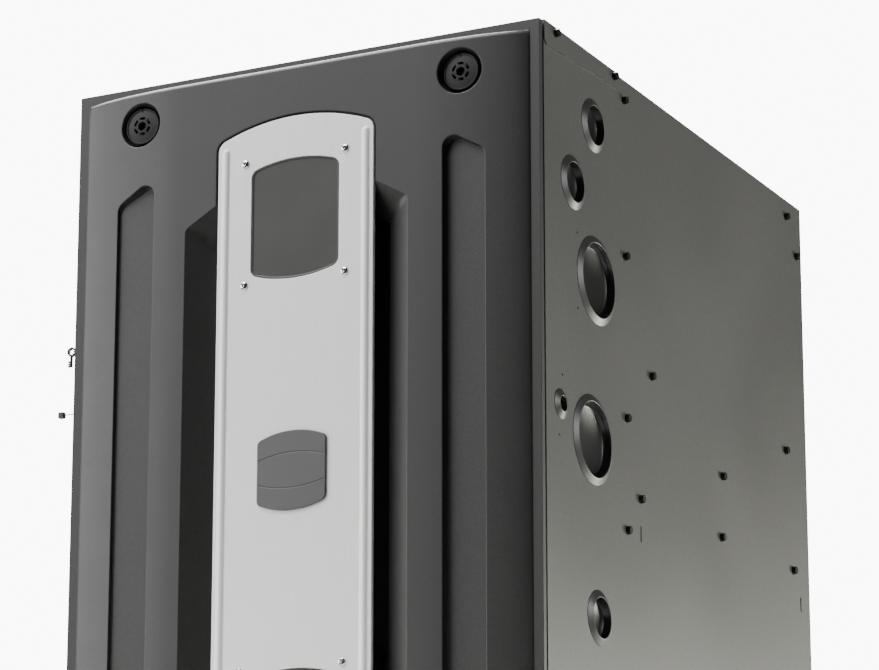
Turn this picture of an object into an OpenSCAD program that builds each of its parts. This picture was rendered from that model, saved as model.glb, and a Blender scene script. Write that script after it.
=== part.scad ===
// Upflow forced air gas furnace with a one-piece bowed door
// The front faces -Y, +Z is up and the origin is the centre of the cabinet's base

/* [Cabinet] */
// Width over the side panels
cab_w = 533.4; // [500:0.1:620]
// Height from the blower deck to the top edge of the panels
heat_h = 448.3; // [440:0.1:560]
// Height of the blower deck above the floor
deck_z = 428; // [410:1:520]
// Depth of the cabinet behind the door
cab_d = 684; // [660:1:760]
// Steel thickness of panels and brackets
sheet = 1.2; // [0.8:0.1:2]
// Width of the turned edges of the panels
flange_w = 22; // [18:1:26]
// Depth of the rail over the front of the cabinet
rail_d = 176.9; // [170:0.1:190]
// Height of the rail's outer side flange at the front
rail_flange_front = 24; // [20:1:30]
// Height of the rail's outer side flange at the rear
rail_flange_rear = 16; // [12:1:20]
// Thickness of the foil-faced liner
liner_t = 6; // [4:1:10]

/* [Door] */
// Depth of the door's turned rim
rim_d = 7; // [6:0.5:9]
// Gap between the rim and the cabinet
door_gap = 2.6; // [1.5:0.1:4]
// Gap between the door and the floor
door_lift = 4; // [3:0.5:8]
// Flat margin between the rim's edge and the bowed shell
rim_margin = 10.3; // [8:0.1:14]
// Width of the door pan's face behind the shell
rim_w = 22; // [18:1:26]
// How far the shell bows out in front of the rim
bow = 16; // [14:0.5:19]
// Width over which the bow falls to each side edge
bow_run = 120; // [100:1:125]
// Wall thickness of the moulded shell
shell_t = 2.5; // [2:0.1:3]
// Distance of the side channels from the centre line
channel_in = 166.5; // [160:0.5:170]
// Width of a side channel
channel_w = 44.5; // [36:0.5:50]
// Depth of a side channel
channel_depth = 9; // [6:0.5:10]
// Distance from the top edge to the channel's highest corner
channel_drop = 106.3; // [98:0.1:120]
// Half width of the central valley
valley_half = 127.5; // [124:0.5:132]
// Distance from the top edge to the peak of the valley
valley_drop = 96.6; // [94:0.1:104]
// Width of the valley's sloping sides
valley_slope_w = 30.5; // [26:0.5:33]
// How far the slope runs behind the rim's face
valley_step = 4.5; // [2:0.5:7]
// Depth of the finger slot behind the rim's face
slot_depth = 24; // [20:1:26]
// Angle of the slanted ends of the valley and the channels
slant = 30; // [26:0.5:33]

/* [Trim strip] */
// Half width of the strip
strip_half = 89.5; // [86:0.5:92]
// Distance from the top edge to the strip's apex
strip_drop = 66; // [60:1:72]
// Radius of the strip's arched ends
strip_arc_r = 220; // [190:1:260]
// Corner radius of the strip
strip_corner = 12; // [8:1:14]
// Thickness of the strip
strip_t = 4; // [3:0.5:5]
// Half width of a sight window
window_half = 50.3; // [44:0.1:52]
// Distance from the top edge to the window's apex
window_drop = 111; // [106:1:118]
// Height of a window between its two apexes
window_h = 127.5; // [110:0.5:132]
// Radius of the window's arched ends
window_arc_r = 150; // [120:1:190]
// Corner radius of a window
window_corner = 10; // [6:1:12]
// Half width of the badge plate
badge_half = 38.8; // [32:0.1:44]
// Height of the badge plate between its two apexes
badge_h = 81.4; // [70:0.1:90]
// Radius of the badge plate's arched ends
badge_arc_r = 92; // [80:1:120]
// Corner radius of the badge plate
badge_corner = 6; // [4:1:8]
// Thickness of the badge plate
badge_t = 2.5; // [1.5:0.1:3]
// Distance of the trim screws from the centre line
trim_screw_x = 57.5; // [54:0.5:64]
// Distance of the first and second trim screws from the top edge
trim_screw_drops = [110, 239.5];
// Head radius of a trim screw
trim_head_r = 4.3; // [3.5:0.1:5]

/* [Knobs] */
// Distance of the knobs from the centre line
knob_x = 184.6; // [178:0.1:188]
// Distance of the knobs from the top edge
knob_drop = 47.2; // [44:0.1:52]
// Radius of a knob
knob_r = 19.4; // [17:0.1:20.4]
// Radius of the pocket at the surface
pocket_r = 24; // [23.5:0.1:26]
// Radius of the pocket's floor
pocket_floor_r = 21; // [20.8:0.1:22]
// Radius of the latch stud
stud_r = 4; // [3:0.1:5]
// Running clearance of the stud in the door
stud_fit = 0.06; // [0.02:0.01:0.1]

/* [Side openings] */
// Radius of the large vent and return plugs
big_plug_r = 46.1; // [42:0.1:48]
// Radius of the middle plugs
mid_plug_r = 28.2; // [24:0.1:30]
// Radius of the small plug
small_plug_r = 15.3; // [12:0.1:17]
// How far a plug's bevelled bezel stands out
bezel_h = 3.4; // [2:0.1:5]
// Width of the bevelled bezel
bezel_w = 7.3; // [5:0.1:8]
// Depth of the plug's recessed disc below its mouth
plug_depth = 8; // [6:0.5:9]

/* [Burners] */
// Number of burners and heat exchanger tubes
tube_n = 4; // [3:1:4]
// Spacing of the tubes
tube_pitch = 70; // [60:1:72]
// Outer radius of a heat exchanger tube
tube_r = 20; // [16:0.5:22]
// Wall thickness of a heat exchanger tube
tube_wall = 1.5; // [1:0.1:2]
// Distance from the top edge to the burner axis
burner_drop = 106; // [100:1:112]
// Depth of the burner box
burner_box_d = 75; // [70:1:80]
// Height of the burner box
burner_box_h = 90; // [80:1:96]
// Gap between the tubes' lowest pass and the coil
coil_clear = 50.3; // [44:0.1:70]
// Radius of the manifold pipe
manifold_r = 12; // [9:0.5:14]

/* [Inducer and vent] */
// Distance of the inducer from the centre line
inducer_x = 100; // [96:1:104]
// Height of the inducer's axis over the blower deck
inducer_rise = 95; // [92:1:98]
// Outer radius of the inducer housing
volute_r = 80; // [74:1:82]
// Depth of the inducer housing
volute_d = 46; // [40:1:48]
// Radius of the inducer wheel
inducer_wheel_r = 60; // [50:1:66]
// Radius of the inducer motor
inducer_motor_r = 36; // [30:1:40]
// Outer radius of the vent and intake pipe
pipe_r = 30.15; // [28:0.05:31]
// Wall of the vent pipe
pipe_wall = 3.9; // [3:0.1:4.2]
// Clearance of a pipe in its coupling
pipe_fit = 0.1; // [0.05:0.05:0.4]
// Length of the socket that takes the installer's pipe
socket_l = 30; // [24:1:34]

/* [Blower] */
// Outer radius of the blower wheel
wheel_r = 120; // [110:1:124]
// Length of the blower wheel
wheel_w = 250; // [220:1:256]
// Number of blower blades
blade_n = 36; // [24:1:44]
// Radius of the blower motor
motor_r = 68; // [60:1:72]
// Radius of the blower shaft
shaft_r = 6.35; // [5:0.05:8]
// Running clearance of the shafts in their motors
shaft_fit = 0.05; // [0.02:0.01:0.1]
// Smallest radius of the scroll housing
scroll_r0 = 138; // [134:1:142]
// Growth of the scroll's radius from the cutoff to the outlet
scroll_growth = 67; // [56:1:72]
// Half width of the scroll housing
scroll_half = 142; // [138:1:150]

/* [Hidden] */
$fn = 48;

over = 1;           // how far every cut runs past the faces it opens
seat = 0.3;         // gap where a moving or curved piece lies on another body
fit = 0.15;         // radial clearance of a fixed piece in its hole
cab_h = deck_z + heat_h;
half_w = cab_w / 2;
in_x = half_w - sheet;
y_front = -cab_d / 2;
y_back = cab_d / 2;
y_in_back = y_back - sheet;
y_rim = y_front - door_gap - rim_d;
y_vest = y_front + rail_d - sheet;
y_vest_back = y_vest + sheet;
y_door_back = y_rim + slot_depth + shell_t;
mid_z = cab_h / 2;
shell_half = half_w - rim_margin;
shell_bottom = door_lift + rim_margin;
shell_top = cab_h - rim_margin;

// One plain solid box from its corner
module bar(size, at) { translate(at) cube(size); }
// Cylinders from a start point along each axis
module rod_x(r, len, at) { translate(at) rotate([0, 90, 0]) cylinder(r = r, h = len); }
module rod_y(r, len, at) { translate(at) rotate([-90, 0, 0]) cylinder(r = r, h = len); }
module rod_z(r, len, at) { translate(at) cylinder(r = r, h = len); }
// A drawing in X and Z made solid between two depths
module slab_y(y0, y1) { translate([0, y1, 0]) rotate([90, 0, 0]) linear_extrude(y1 - y0) children(); }
// A drawing in Y and Z made solid between two widths
module slab_x(x0, x1) { translate([x0, 0, 0]) rotate([90, 0, 90]) linear_extrude(x1 - x0) children(); }
// The child and its copy on the other side of the centre plane
module both_sides() { children(); mirror([1, 0, 0]) children(); }
// The child and its copy mirrored top to bottom
module both_ends() { children(); translate([0, 0, cab_h]) mirror([0, 0, 1]) children(); }

// Cabinet

// Screws of the side panels, as shares of the cabinet's depth and height
screw_shares = [[0.2833, 0.9738], [0.9357, 0.9771], [0.9759, 0.9316], [0.2804, 0.7796],
    [0.3721, 0.6518], [0.2784, 0.583], [0.9086, 0.6597], [0.6412, 0.5783], [0.3259, 0.4949],
    [0.2769, 0.4498], [0.6332, 0.5009], [0.93, 0.5076], [0.2804, 0.25], [0.2804, 0.06],
    [0.9759, 0.3], [0.9759, 0.07], [0.6412, 0.012]];
screw_r = 2.1;
screw_l = 9;
head_af = 7.6;
head_h = 4.6;
washer_r = 4.6;
washer_t = 0.9;
rail_screw_ys = [26.1, 167.5];
rail_screw_drop = 5.2;

// Pilot holes of the side panels, as shares of depth and height
pilot_shares = [[0.1104, 0.7709], [0.111, 0.681], [0.0554, 0.5918], [0.0423, 0.5201]];
pilot_r = 1.3;
// Bent lances of the side panels, as shares of depth and height
lance_shares = [[0.3254, 0.4624], [0.9594, 0.4771]];
lance_w = 15.5;
lance_h = 16;
lance_t = 0.7;

// Plugs as shares of depth and height, each with its radius
plug_shares = [[0.1708, 0.9145], [0.0971, 0.8281], [0.1762, 0.7273], [0.1569, 0.535],
    [0.0491, 0.5567], [0.1743, 0.3315]];
plug_rs = [mid_plug_r, mid_plug_r, big_plug_r, big_plug_r, small_plug_r, mid_plug_r];
plug_lip_share = 0.9;
plug_wall = 1.6;

// Shares of the depth and height that the front compartment and the blower compartment take
front_share = 0.2908;
deck_share = 0.4884;
front_d = rail_d + flange_w;
function split(share, part_share, first, rest) = share < part_share ? first * share / part_share
    : first + rest * (share - part_share) / (1 - part_share);
function along(share) = y_front + split(share, front_share, front_d, cab_d - front_d);
function up(share) = split(share, deck_share, deck_z, heat_h);
function plug_neck_r(i) = (plug_rs[i] - bezel_w) * plug_lip_share + plug_wall;

module screw_hole(y, z) {
    rod_x(screw_r + fit, screw_l + liner_t + flange_w, [in_x - screw_l - liner_t, y, z]);
}

module screw_holes() {
    both_sides() {
        for (s = screw_shares) screw_hole(along(s[0]), up(s[1]));
        for (y = rail_screw_ys) screw_hole(y_front + y, cab_h - rail_screw_drop);
    }
}

module side_panel() {
    difference() {
        union() {
            bar([sheet, cab_d, cab_h], [in_x, y_front, 0]);
            bar([flange_w - sheet, sheet, cab_h], [half_w - flange_w, y_front, 0]);
            for (s = lance_shares) lance(along(s[0]), up(s[1]));
        }
        screw_holes();
        for (s = pilot_shares) rod_x(pilot_r, sheet + over, [in_x - over / 2, along(s[0]), up(s[1])]);
        for (i = [0:len(plug_rs) - 1]) {
            rod_x(plug_neck_r(i) + fit, sheet + over,
                [in_x - over / 2, along(plug_shares[i][0]), up(plug_shares[i][1])]);
        }
    }
}

module lance(y, z) {
    slab_x(half_w - sheet / 2, half_w + lance_t)
        polygon([[y, z], [y + lance_w, z], [y, z - lance_h]]);
}

module right_side_panel() { color([0.36, 0.36, 0.34]) side_panel(); }
module left_side_panel() { color([0.36, 0.36, 0.34]) mirror([1, 0, 0]) side_panel(); }

module back_panel() {
    color([0.36, 0.36, 0.34])
    difference() {
        union() {
            bar([2 * in_x, sheet, cab_h], [-in_x, y_in_back, 0]);
            both_sides() bar([sheet, flange_w, cab_h - flange_w],
                [in_x - sheet, y_in_back - flange_w, flange_w]);
        }
        screw_holes();
    }
}

// The pan closes the floor and its front apron carries the lower latches
pan_y0 = y_front + sheet;
apron_gap = 2.2;
apron_h = knob_drop - stud_r - apron_gap;
module bottom_panel() {
    color([0.36, 0.36, 0.34])
    difference() {
        union() {
            bar([2 * in_x, y_in_back - pan_y0, sheet], [-in_x, pan_y0, 0]);
            bar([2 * in_x, sheet, apron_h], [-in_x, pan_y0, 0]);
            both_sides() bar([sheet, y_in_back - pan_y0, flange_w], [in_x - sheet, pan_y0, 0]);
        }
        screw_holes();
    }
}

// The rail caps the front of the cabinet, and its flanges lap over the side panels
rail_nose = 5;
coupling_wall = 5;
coupling_r = pipe_r + coupling_wall;
header_d = 30;
throat_r = pipe_r - pipe_wall - 2 * fit;
vent_y = y_vest - header_d - throat_r - 2 * seat;
intake_y = y_vest - burner_box_d / 2;
vent_x = inducer_x + volute_r - pipe_r + pipe_wall;
intake_x = -60;
rail_hole_fit = 0.4;
module top_front_rail() {
    color([0.36, 0.36, 0.34])
    difference() {
        union() {
            bar([cab_w + 2 * sheet, rail_d, sheet], [-half_w - sheet, y_front, cab_h]);
            bar([2 * in_x, sheet, apron_h], [-in_x, pan_y0, cab_h - apron_h]);
            both_sides() slab_x(half_w, half_w + sheet) polygon([
                [y_front, cab_h + sheet], [y_front + rail_d, cab_h + sheet],
                [y_front + rail_d, cab_h - rail_flange_rear],
                [y_front + rail_nose, cab_h - rail_flange_front],
                [y_front, cab_h - rail_flange_front + rail_nose]]);
        }
        screw_holes();
        rod_z(coupling_r + rail_hole_fit, sheet + over, [vent_x, vent_y, cab_h - over / 2]);
        rod_z(coupling_r + rail_hole_fit, sheet + over, [intake_x, intake_y, cab_h - over / 2]);
    }
}

// Turned-in flanges round the supply opening, where the duct is fixed
module supply_flanges() {
    leg = flange_w - sheet;
    y0 = y_vest_back;
    run = y_in_back - y0;
    color([0.36, 0.36, 0.34])
    difference() {
        union() {
            both_sides() {
                bar([sheet, run - 2 * flange_w, leg], [in_x - sheet, y0 + flange_w, cab_h - leg]);
                bar([leg, run - 2 * flange_w, sheet], [in_x - leg, y0 + flange_w, cab_h - sheet]);
            }
            bar([2 * in_x - 2 * sheet, leg, sheet], [sheet - in_x, y_in_back - leg, cab_h - sheet]);
            bar([2 * in_x - 2 * flange_w, sheet, leg], [flange_w - in_x, y_in_back - sheet, cab_h - leg]);
            bar([2 * in_x, leg, sheet], [-in_x, y0, cab_h - sheet]);
        }
        screw_holes();
    }
}

// The panel between the burner compartment and the heat exchanger
header_w = 310;
header_h = 130;
header_x = 35;
header_wall = 4;
module vestibule_panel() {
    color([0.62, 0.63, 0.64])
    difference() {
        union() {
            bar([2 * in_x, sheet, cab_h - deck_z], [-in_x, y_vest, deck_z]);
            both_sides() bar([sheet, flange_w - sheet, cab_h - deck_z - flange_w],
                [in_x - sheet, y_vest_back, deck_z]);
        }
        screw_holes();
        for (i = [0:tube_n - 1])
            rod_y(tube_r + fit, sheet + over, [tube_x(i), y_vest - over / 2, burner_z]);
        bar([header_w - 2 * flange_w, sheet + over, header_h - 2 * flange_w],
            [header_x - header_w / 2 + flange_w, y_vest - over / 2, deck_z + flange_w]);
    }
}

// The deck carries the coil and has the blower's outlet
deck_y0 = y_front + flange_w + sheet;
module blower_deck() {
    color([0.62, 0.63, 0.64])
    difference() {
        union() {
            bar([2 * in_x, y_in_back - deck_y0, sheet], [-in_x, deck_y0, deck_z - sheet]);
            bar([2 * in_x, sheet, flange_w], [-in_x, deck_y0, deck_z - flange_w]);
            both_sides() bar([sheet, y_in_back - flange_w - deck_y0, flange_w],
                [in_x - sheet, deck_y0, deck_z - flange_w]);
        }
        screw_holes();
        both_sides() bar([sheet + fit + over, flange_w + fit + over, sheet + 2 * over],
            [in_x - sheet - fit, y_in_back - flange_w - fit, deck_z - sheet - over]);
        bar([2 * scroll_half - 2 * flange_w, outlet_y1 - outlet_y0 - 2 * flange_w, 2 * flange_w],
            [flange_w - scroll_half, outlet_y0 + flange_w, deck_z - flange_w]);
    }
}

// Foil-faced blankets on the inside of both side panels
module cabinet_liner() {
    color([0.75, 0.76, 0.78])
    difference() {
        both_sides() bar([liner_t, y_in_back - flange_w - y_vest_back - flange_w,
            cab_h - deck_z - 2 * flange_w],
            [in_x - liner_t, y_vest_back + flange_w, deck_z]);
        screw_holes();
    }
}

module side_screw(x, y, z) {
    rod_x(screw_r, screw_l, [x - screw_l, y, z]);
    rod_x(washer_r, washer_t, [x, y, z]);
    translate([x, y, z]) rotate([0, 90, 0]) cylinder(r = head_af / sqrt(3), h = head_h, $fn = 6);
}

module side_screws() {
    color([0.16, 0.16, 0.16])
    both_sides() {
        for (s = screw_shares) side_screw(half_w, along(s[0]), up(s[1]));
        for (y = rail_screw_ys) side_screw(half_w + sheet, y_front + y, cab_h - rail_screw_drop);
    }
}

// Cup-shaped plugs with a bevelled bezel and a recessed disc
module knockout_plug(i) {
    neck = plug_neck_r(i);
    bore = neck - plug_wall;
    back = bezel_h - plug_depth - plug_wall;
    translate([half_w, along(plug_shares[i][0]), up(plug_shares[i][1])]) rotate([0, 90, 0])
    rotate_extrude() polygon([
        [0, back], [neck, back], [neck, 0], [plug_rs[i], 0], [plug_rs[i] - bezel_w / 8, bezel_h / 4],
        [plug_rs[i] - bezel_w, bezel_h], [bore, bezel_h - plug_wall], [bore, bezel_h - plug_depth],
        [0, bezel_h - plug_depth]]);
}

module knockout_plugs() {
    color([0.24, 0.24, 0.24])
    both_sides() for (i = [0:len(plug_rs) - 1]) knockout_plug(i);
}

// Ring clip and wire stop on the left side
clip_shares = [0.0254, 0.6937];
clip_out = 20;
clip_r = 4.9;
clip_wall = 1.2;
clip_t = 4;
clip_pad = 9;
clip_stem = 16;
tooth_n = 6;
stop_shares = [0.0244, 0.6168];
stop_out = 30;
stop_size = 6;
wire_r = 0.6;
module side_clips() {
    y = along(clip_shares[0]);
    z = up(clip_shares[1]);
    color([0.15, 0.15, 0.15]) {
        translate([-half_w - clip_out, y, z]) rotate([90, 0, 0]) difference() {
            translate([0, 0, -clip_t / 2]) linear_extrude(clip_t) union() {
                difference() {
                    circle(clip_r);
                    circle(clip_r - clip_wall);
                }
                for (a = [0:360 / tooth_n:359]) rotate(a) translate([clip_r - 2 * clip_wall, -clip_wall / 2])
                    square([1.5 * clip_wall, clip_wall]);
            }
        }
        bar([clip_out - clip_r, clip_t / 2, clip_t / 2], [-half_w - clip_out + clip_r - clip_wall / 2,
            y - clip_t / 4, z - clip_t / 4]);
        bar([clip_wall, clip_pad, clip_pad], [-half_w - clip_wall, y - clip_pad / 2, z - clip_pad / 2]);
        bar([clip_wall, clip_t, clip_stem - clip_r + clip_wall], [-half_w - clip_out - clip_wall,
            y - clip_t / 2, z - clip_stem]);
        for (k = [1:3]) bar([clip_t, clip_t, clip_wall], [-half_w - clip_out - clip_t,
            y - clip_t / 2, z - clip_stem + (k - 1) * 2 * clip_wall]);
        rod_x(wire_r, stop_out, [-half_w - stop_out, along(stop_shares[0]), up(stop_shares[1])]);
        bar([stop_size, stop_size, stop_size], [-half_w - stop_out - stop_size / 2,
            along(stop_shares[0]) - stop_size / 2, up(stop_shares[1]) - stop_size / 2]);
    }
}

// Door

// The rim is a pan of bent steel, open behind the moulded shell
module door_pan() {
    h = cab_h - door_lift;
    color([0.35, 0.35, 0.35])
    difference() {
        bar([cab_w, rim_d, h], [-half_w, y_rim, door_lift]);
        bar([cab_w - 2 * sheet, rim_d, h - 2 * sheet], [sheet - half_w, y_rim + sheet, door_lift + sheet]);
        bar([cab_w - 2 * rim_w, rim_d, h - 2 * rim_w], [rim_w - half_w, y_rim - over, door_lift + rim_w]);
    }
}

bow_steps = 12;
bow_power = 0.68;
function bow_edge(half, depth, run) = [for (i = [0:bow_steps]) let(s = i / bow_steps)
    [half - run + run * sqrt(1 - pow(s, 1 / bow_power)), -depth * s]];
function flipped(pts) = [for (i = [len(pts) - 1:-1:0]) [-pts[i][0], pts[i][1]]];

// The bowed block that the shell's skin follows, made thinner all round by inset
module bowed_block(inset) {
    edge = bow_edge(shell_half - inset, bow - inset, bow_run);
    translate([0, y_rim, shell_bottom + inset]) linear_extrude(shell_top - shell_bottom - 2 * inset)
        polygon(concat(edge, flipped(edge)));
}

// Outlines of the recesses, seen from the front and grown by g
module channel_outline(g) {
    x0 = channel_in - g;
    x1 = channel_in + channel_w + g;
    z0 = cab_h - channel_drop + g;
    fall = (x1 - x0) * tan(slant);
    polygon([[x0, z0], [x1, z0 - fall], [x1, cab_h - z0 + fall], [x0, cab_h - z0]]);
}

module valley_outline(g) {
    x = valley_half + g;
    peak = cab_h - valley_drop + g / cos(slant);
    side = peak - x * tan(slant);
    polygon([[0, peak], [x, side], [x, cab_h - side], [0, cab_h - peak], [-x, cab_h - side], [-x, side]]);
}

// A plate with straight sides and arched ends, its apex at z1 and its lower apex at z0
arch_steps = 20;
function arch(half, z, fall, arc_r) = [for (i = [0:arch_steps]) let(x = half - 2 * half * i / arch_steps)
    [x, z + fall * (arc_r - sqrt(arc_r * arc_r - x * x))]];
module barrel(half, z0, z1, arc_r, corner, g) {
    offset(r = corner + g) offset(delta = -corner)
        polygon(concat(arch(half, z1, -1, arc_r), arch(-half, z0, 1, arc_r)));
}

strip_gap = 1.2;
module strip_outline(g) { barrel(strip_half, strip_drop, cab_h - strip_drop, strip_arc_r, strip_corner, g); }

thin = 0.01;
module valley_space(g) {
    y1 = y_rim + valley_step;
    hull() {
        slab_y(y_rim - bow, y_rim - bow + thin) valley_outline(g);
        slab_y(y1 - thin, y1) valley_outline(g - valley_slope_w);
    }
    slab_y(y1 - thin, y_rim + slot_depth + max(g, 0)) valley_outline(g - valley_slope_w);
}

pocket_fall = 1.4;
pocket_mouth = bow - pocket_fall;
pocket_floor = 1.2;
module knob_pocket(g) {
    translate([knob_x, y_rim - pocket_mouth, cab_h - knob_drop]) rotate([-90, 0, 0])
        cylinder(r1 = pocket_r + g, r2 = pocket_floor_r + g, h = pocket_mouth - pocket_floor + g);
    rod_y(pocket_r + g, pocket_mouth, [knob_x, y_rim - 2 * pocket_mouth, cab_h - knob_drop]);
}

channel_fall = 2;
channel_floor = bow - channel_fall - channel_depth;
module door_shell() {
    color([0.34, 0.34, 0.34])
    difference() {
        union() {
            difference() {
                bowed_block(0);
                bowed_block(shell_t);
            }
            intersection() {
                shell_limits();
                union() {
                    both_sides() slab_y(y_rim - 2 * bow, y_rim - channel_floor + shell_t)
                        channel_outline(shell_t);
                    both_ends() both_sides() knob_pocket(shell_t);
                    slab_y(y_rim - 2 * bow, y_rim - bow + strip_t + shell_t)
                        strip_outline(strip_gap + shell_t);
                    valley_space(shell_t);
                }
            }
        }
        both_sides() slab_y(y_rim - 2 * bow, y_rim - channel_floor) channel_outline(0);
        both_ends() both_sides() knob_pocket(0);
        slab_y(y_rim - 2 * bow, y_rim - bow + strip_t) strip_outline(strip_gap);
        valley_space(0);
        both_ends() both_sides() rod_y(stud_r + stud_fit, 2 * bow, [knob_x, y_rim - bow, cab_h - knob_drop]);
        trim_screw_holes();
    }
}

// The bowed block in front of the rim, and the space inside the pan behind it
module shell_limits() {
    bowed_block(0);
    bar([cab_w - 2 * rim_w - 2 * fit, y_door_back - y_rim + thin, cab_h - door_lift - 2 * rim_w - 2 * fit],
        [rim_w + fit - half_w, y_rim - thin, door_lift + rim_w + fit]);
}

trim_shank_r = 2;
trim_shank_l = 9;
trim_head_h = 2.2;
module trim_screw_places() {
    both_ends() both_sides() for (d = trim_screw_drops) translate([trim_screw_x, y_rim - bow, cab_h - d])
        children();
}

module trim_screw_holes() {
    trim_screw_places() rod_y(trim_shank_r + fit, trim_shank_l + over, [0, -over, 0]);
}

module trim_screws() {
    dome = (trim_head_r * trim_head_r + trim_head_h * trim_head_h) / (2 * trim_head_h);
    color([0.8, 0.8, 0.8])
    trim_screw_places() union() {
        rod_y(trim_shank_r, trim_shank_l, [0, 0, 0]);
        intersection() {
            translate([0, dome - trim_head_h, 0]) sphere(dome);
            rod_y(trim_head_r, trim_head_h, [0, -trim_head_h, 0]);
        }
    }
}

// The strip lies in the shell's pocket, with a bead pressed along each side
bead_x = 80.6;
bead_w = 8.5;
bead_h = 1.8;
bead_drop = 90.5;
window_fit = 0.3;
module window_outline(g) {
    barrel(window_half, cab_h - window_drop - window_h, cab_h - window_drop, window_arc_r, window_corner, g);
}

module trim_strip() {
    bead_r = (bead_w * bead_w / 4 + bead_h * bead_h) / (2 * bead_h);
    face = y_rim - bow;
    color([0.8, 0.8, 0.8])
    difference() {
        union() {
            slab_y(face, face + strip_t) strip_outline(0);
            both_sides() intersection() {
                rod_z(bead_r, cab_h - 2 * bead_drop, [bead_x, face + bead_r - bead_h, bead_drop]);
                bar([bead_w, bead_h + strip_t / 2, cab_h], [bead_x - bead_w / 2, face - bead_h, 0]);
            }
        }
        both_ends() slab_y(face - over, face + strip_t + over) window_outline(0);
        trim_screw_holes();
    }
}

pane_recess = 0.8;
module window_pane() {
    slab_y(y_rim - bow + pane_recess, y_rim - bow + strip_t) window_outline(-window_fit);
}

module upper_window() { color([0.33, 0.33, 0.31]) window_pane(); }
module lower_window() { color([0.33, 0.33, 0.31]) translate([0, 0, cab_h]) mirror([0, 0, 1]) window_pane(); }

// The plate in the middle of the strip is bare, with two arched grooves
groove_w = 1.2;
groove_t = 0.5;
groove_arc_r = 122;
groove_gap = 37.5;
module badge_plate() {
    face = y_rim - bow - badge_t;
    color([0.45, 0.45, 0.45])
    difference() {
        slab_y(face, face + badge_t) barrel(badge_half, mid_z - badge_h / 2, mid_z + badge_h / 2,
            badge_arc_r, badge_corner, 0);
        for (s = [0, 1]) translate([0, 0, mid_z]) mirror([0, 0, s])
            translate([0, 0, groove_gap / 2 - groove_arc_r])
            difference() {
                rod_y(groove_arc_r, groove_t + over, [0, face - over, 0]);
                rod_y(groove_arc_r - groove_w, groove_t + 3 * over, [0, face - 2 * over, 0]);
                translate([0, 0, -groove_arc_r]) bar([4 * groove_arc_r, 4 * over, 2 * groove_arc_r],
                    [-2 * groove_arc_r, face - 2 * over, 0]);
            }
    }
}

// Boxes behind the two windows, between the strip and the slot's floor
housing_inset = 8;
housing_half = 84;
housing_drop = 252;
module window_housings() {
    color([0.12, 0.12, 0.12])
    both_ends() difference() {
        slab_y(y_rim - bow + strip_t, y_rim + slot_depth) intersection() {
            valley_outline(-valley_slope_w - housing_inset);
            translate([-housing_half, cab_h - housing_drop]) square([2 * housing_half, housing_drop]);
        }
        slab_y(y_rim - bow, y_rim + slot_depth - 2 * shell_t) window_outline(-shell_t);
        trim_screw_holes();
    }
}

// Foam strip stuck round the back of the rim
gasket_w = 10;
gasket_in = 6;
module door_gasket() {
    w = cab_w - 2 * gasket_in;
    h = cab_h - door_lift - 2 * gasket_in;
    d = y_front - seat - y_rim - sheet;
    color([0.1, 0.1, 0.1])
    difference() {
        bar([w, d, h], [-w / 2, y_rim + sheet, door_lift + gasket_in]);
        bar([w - 2 * gasket_w, d + 2 * over, h - 2 * gasket_w],
            [gasket_w - w / 2, y_rim + sheet - over, door_lift + gasket_in + gasket_w]);
    }
}

// Quarter-turn knob with a dished face, a hex socket and six arched slots round it
knob_face = 11.5;
knob_rim_w = 1.6;
knob_dish = 1.6;
socket_af = 8.4;
socket_deep = 5;
slot_in_r = 7.4;
slot_out_r = 9;
slot_angle = 42;
slot_deep = 1.6;
notch_w = 1.4;
retainer_r = 7;
retainer_t = 1.5;
stud_l = 12;
// The post behind the retainer enters the latch receptacle
stud_end = y_front + stud_l;
module knob() {
    back = pocket_floor + seat;
    rim = knob_face;
    behind = shell_t + 2 * seat;
    color([0.13, 0.13, 0.13])
    rotate([90, 0, 0]) difference() {
        rotate_extrude() polygon([
            [0, -(stud_end - y_rim)], [stud_r, -(stud_end - y_rim)],
            [stud_r, back - behind - retainer_t], [retainer_r, back - behind - retainer_t],
            [retainer_r, back - behind], [stud_r, back - behind], [stud_r, back],
            [knob_r - knob_rim_w, back], [knob_r, back + knob_rim_w], [knob_r, rim - knob_rim_w / 2],
            [knob_r - knob_rim_w / 2, rim], [knob_r - knob_rim_w, rim],
            [knob_r - 2 * knob_rim_w, rim - knob_dish], [slot_out_r + knob_rim_w, rim - knob_dish / 2],
            [0, rim - knob_dish / 2]]);
        translate([0, 0, rim - socket_deep])
            cylinder(r = socket_af / sqrt(3), h = socket_deep + over, $fn = 6);
        for (k = [0:5]) rotate(k * 60 + 30 - slot_angle / 2)
            translate([0, 0, rim - slot_deep - knob_dish / 2])
            rotate_extrude(angle = slot_angle) translate([slot_in_r, 0])
                square([slot_out_r - slot_in_r, 2 * slot_deep]);
        bar([notch_w, 2 * knob_rim_w, 2 * slot_deep],
            [-notch_w / 2, knob_r - 2.5 * knob_rim_w, rim - slot_deep]);
    }
}

module knob_upper_right() { translate([knob_x, y_rim, cab_h - knob_drop]) knob(); }
module knob_upper_left() { translate([-knob_x, y_rim, cab_h - knob_drop]) knob(); }
module knob_lower_right() { translate([knob_x, y_rim, knob_drop]) knob(); }
module knob_lower_left() { translate([-knob_x, y_rim, knob_drop]) knob(); }

// Pairs of jaws on the backs of the aprons that take the knobs' posts between them
jaw_size = [8.5, 10, 26];
jaw_fit = 0.5;
jaw_drop = 10;
module latch_receptacles() {
    color([0.5, 0.5, 0.52])
    both_ends() both_sides() for (s = [0, 1])
        translate([knob_x, pan_y0 + sheet, cab_h - knob_drop - jaw_drop])
        mirror([s, 0, 0]) bar(jaw_size, [stud_r + jaw_fit, 0, 0]);
}

// Burner compartment

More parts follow.
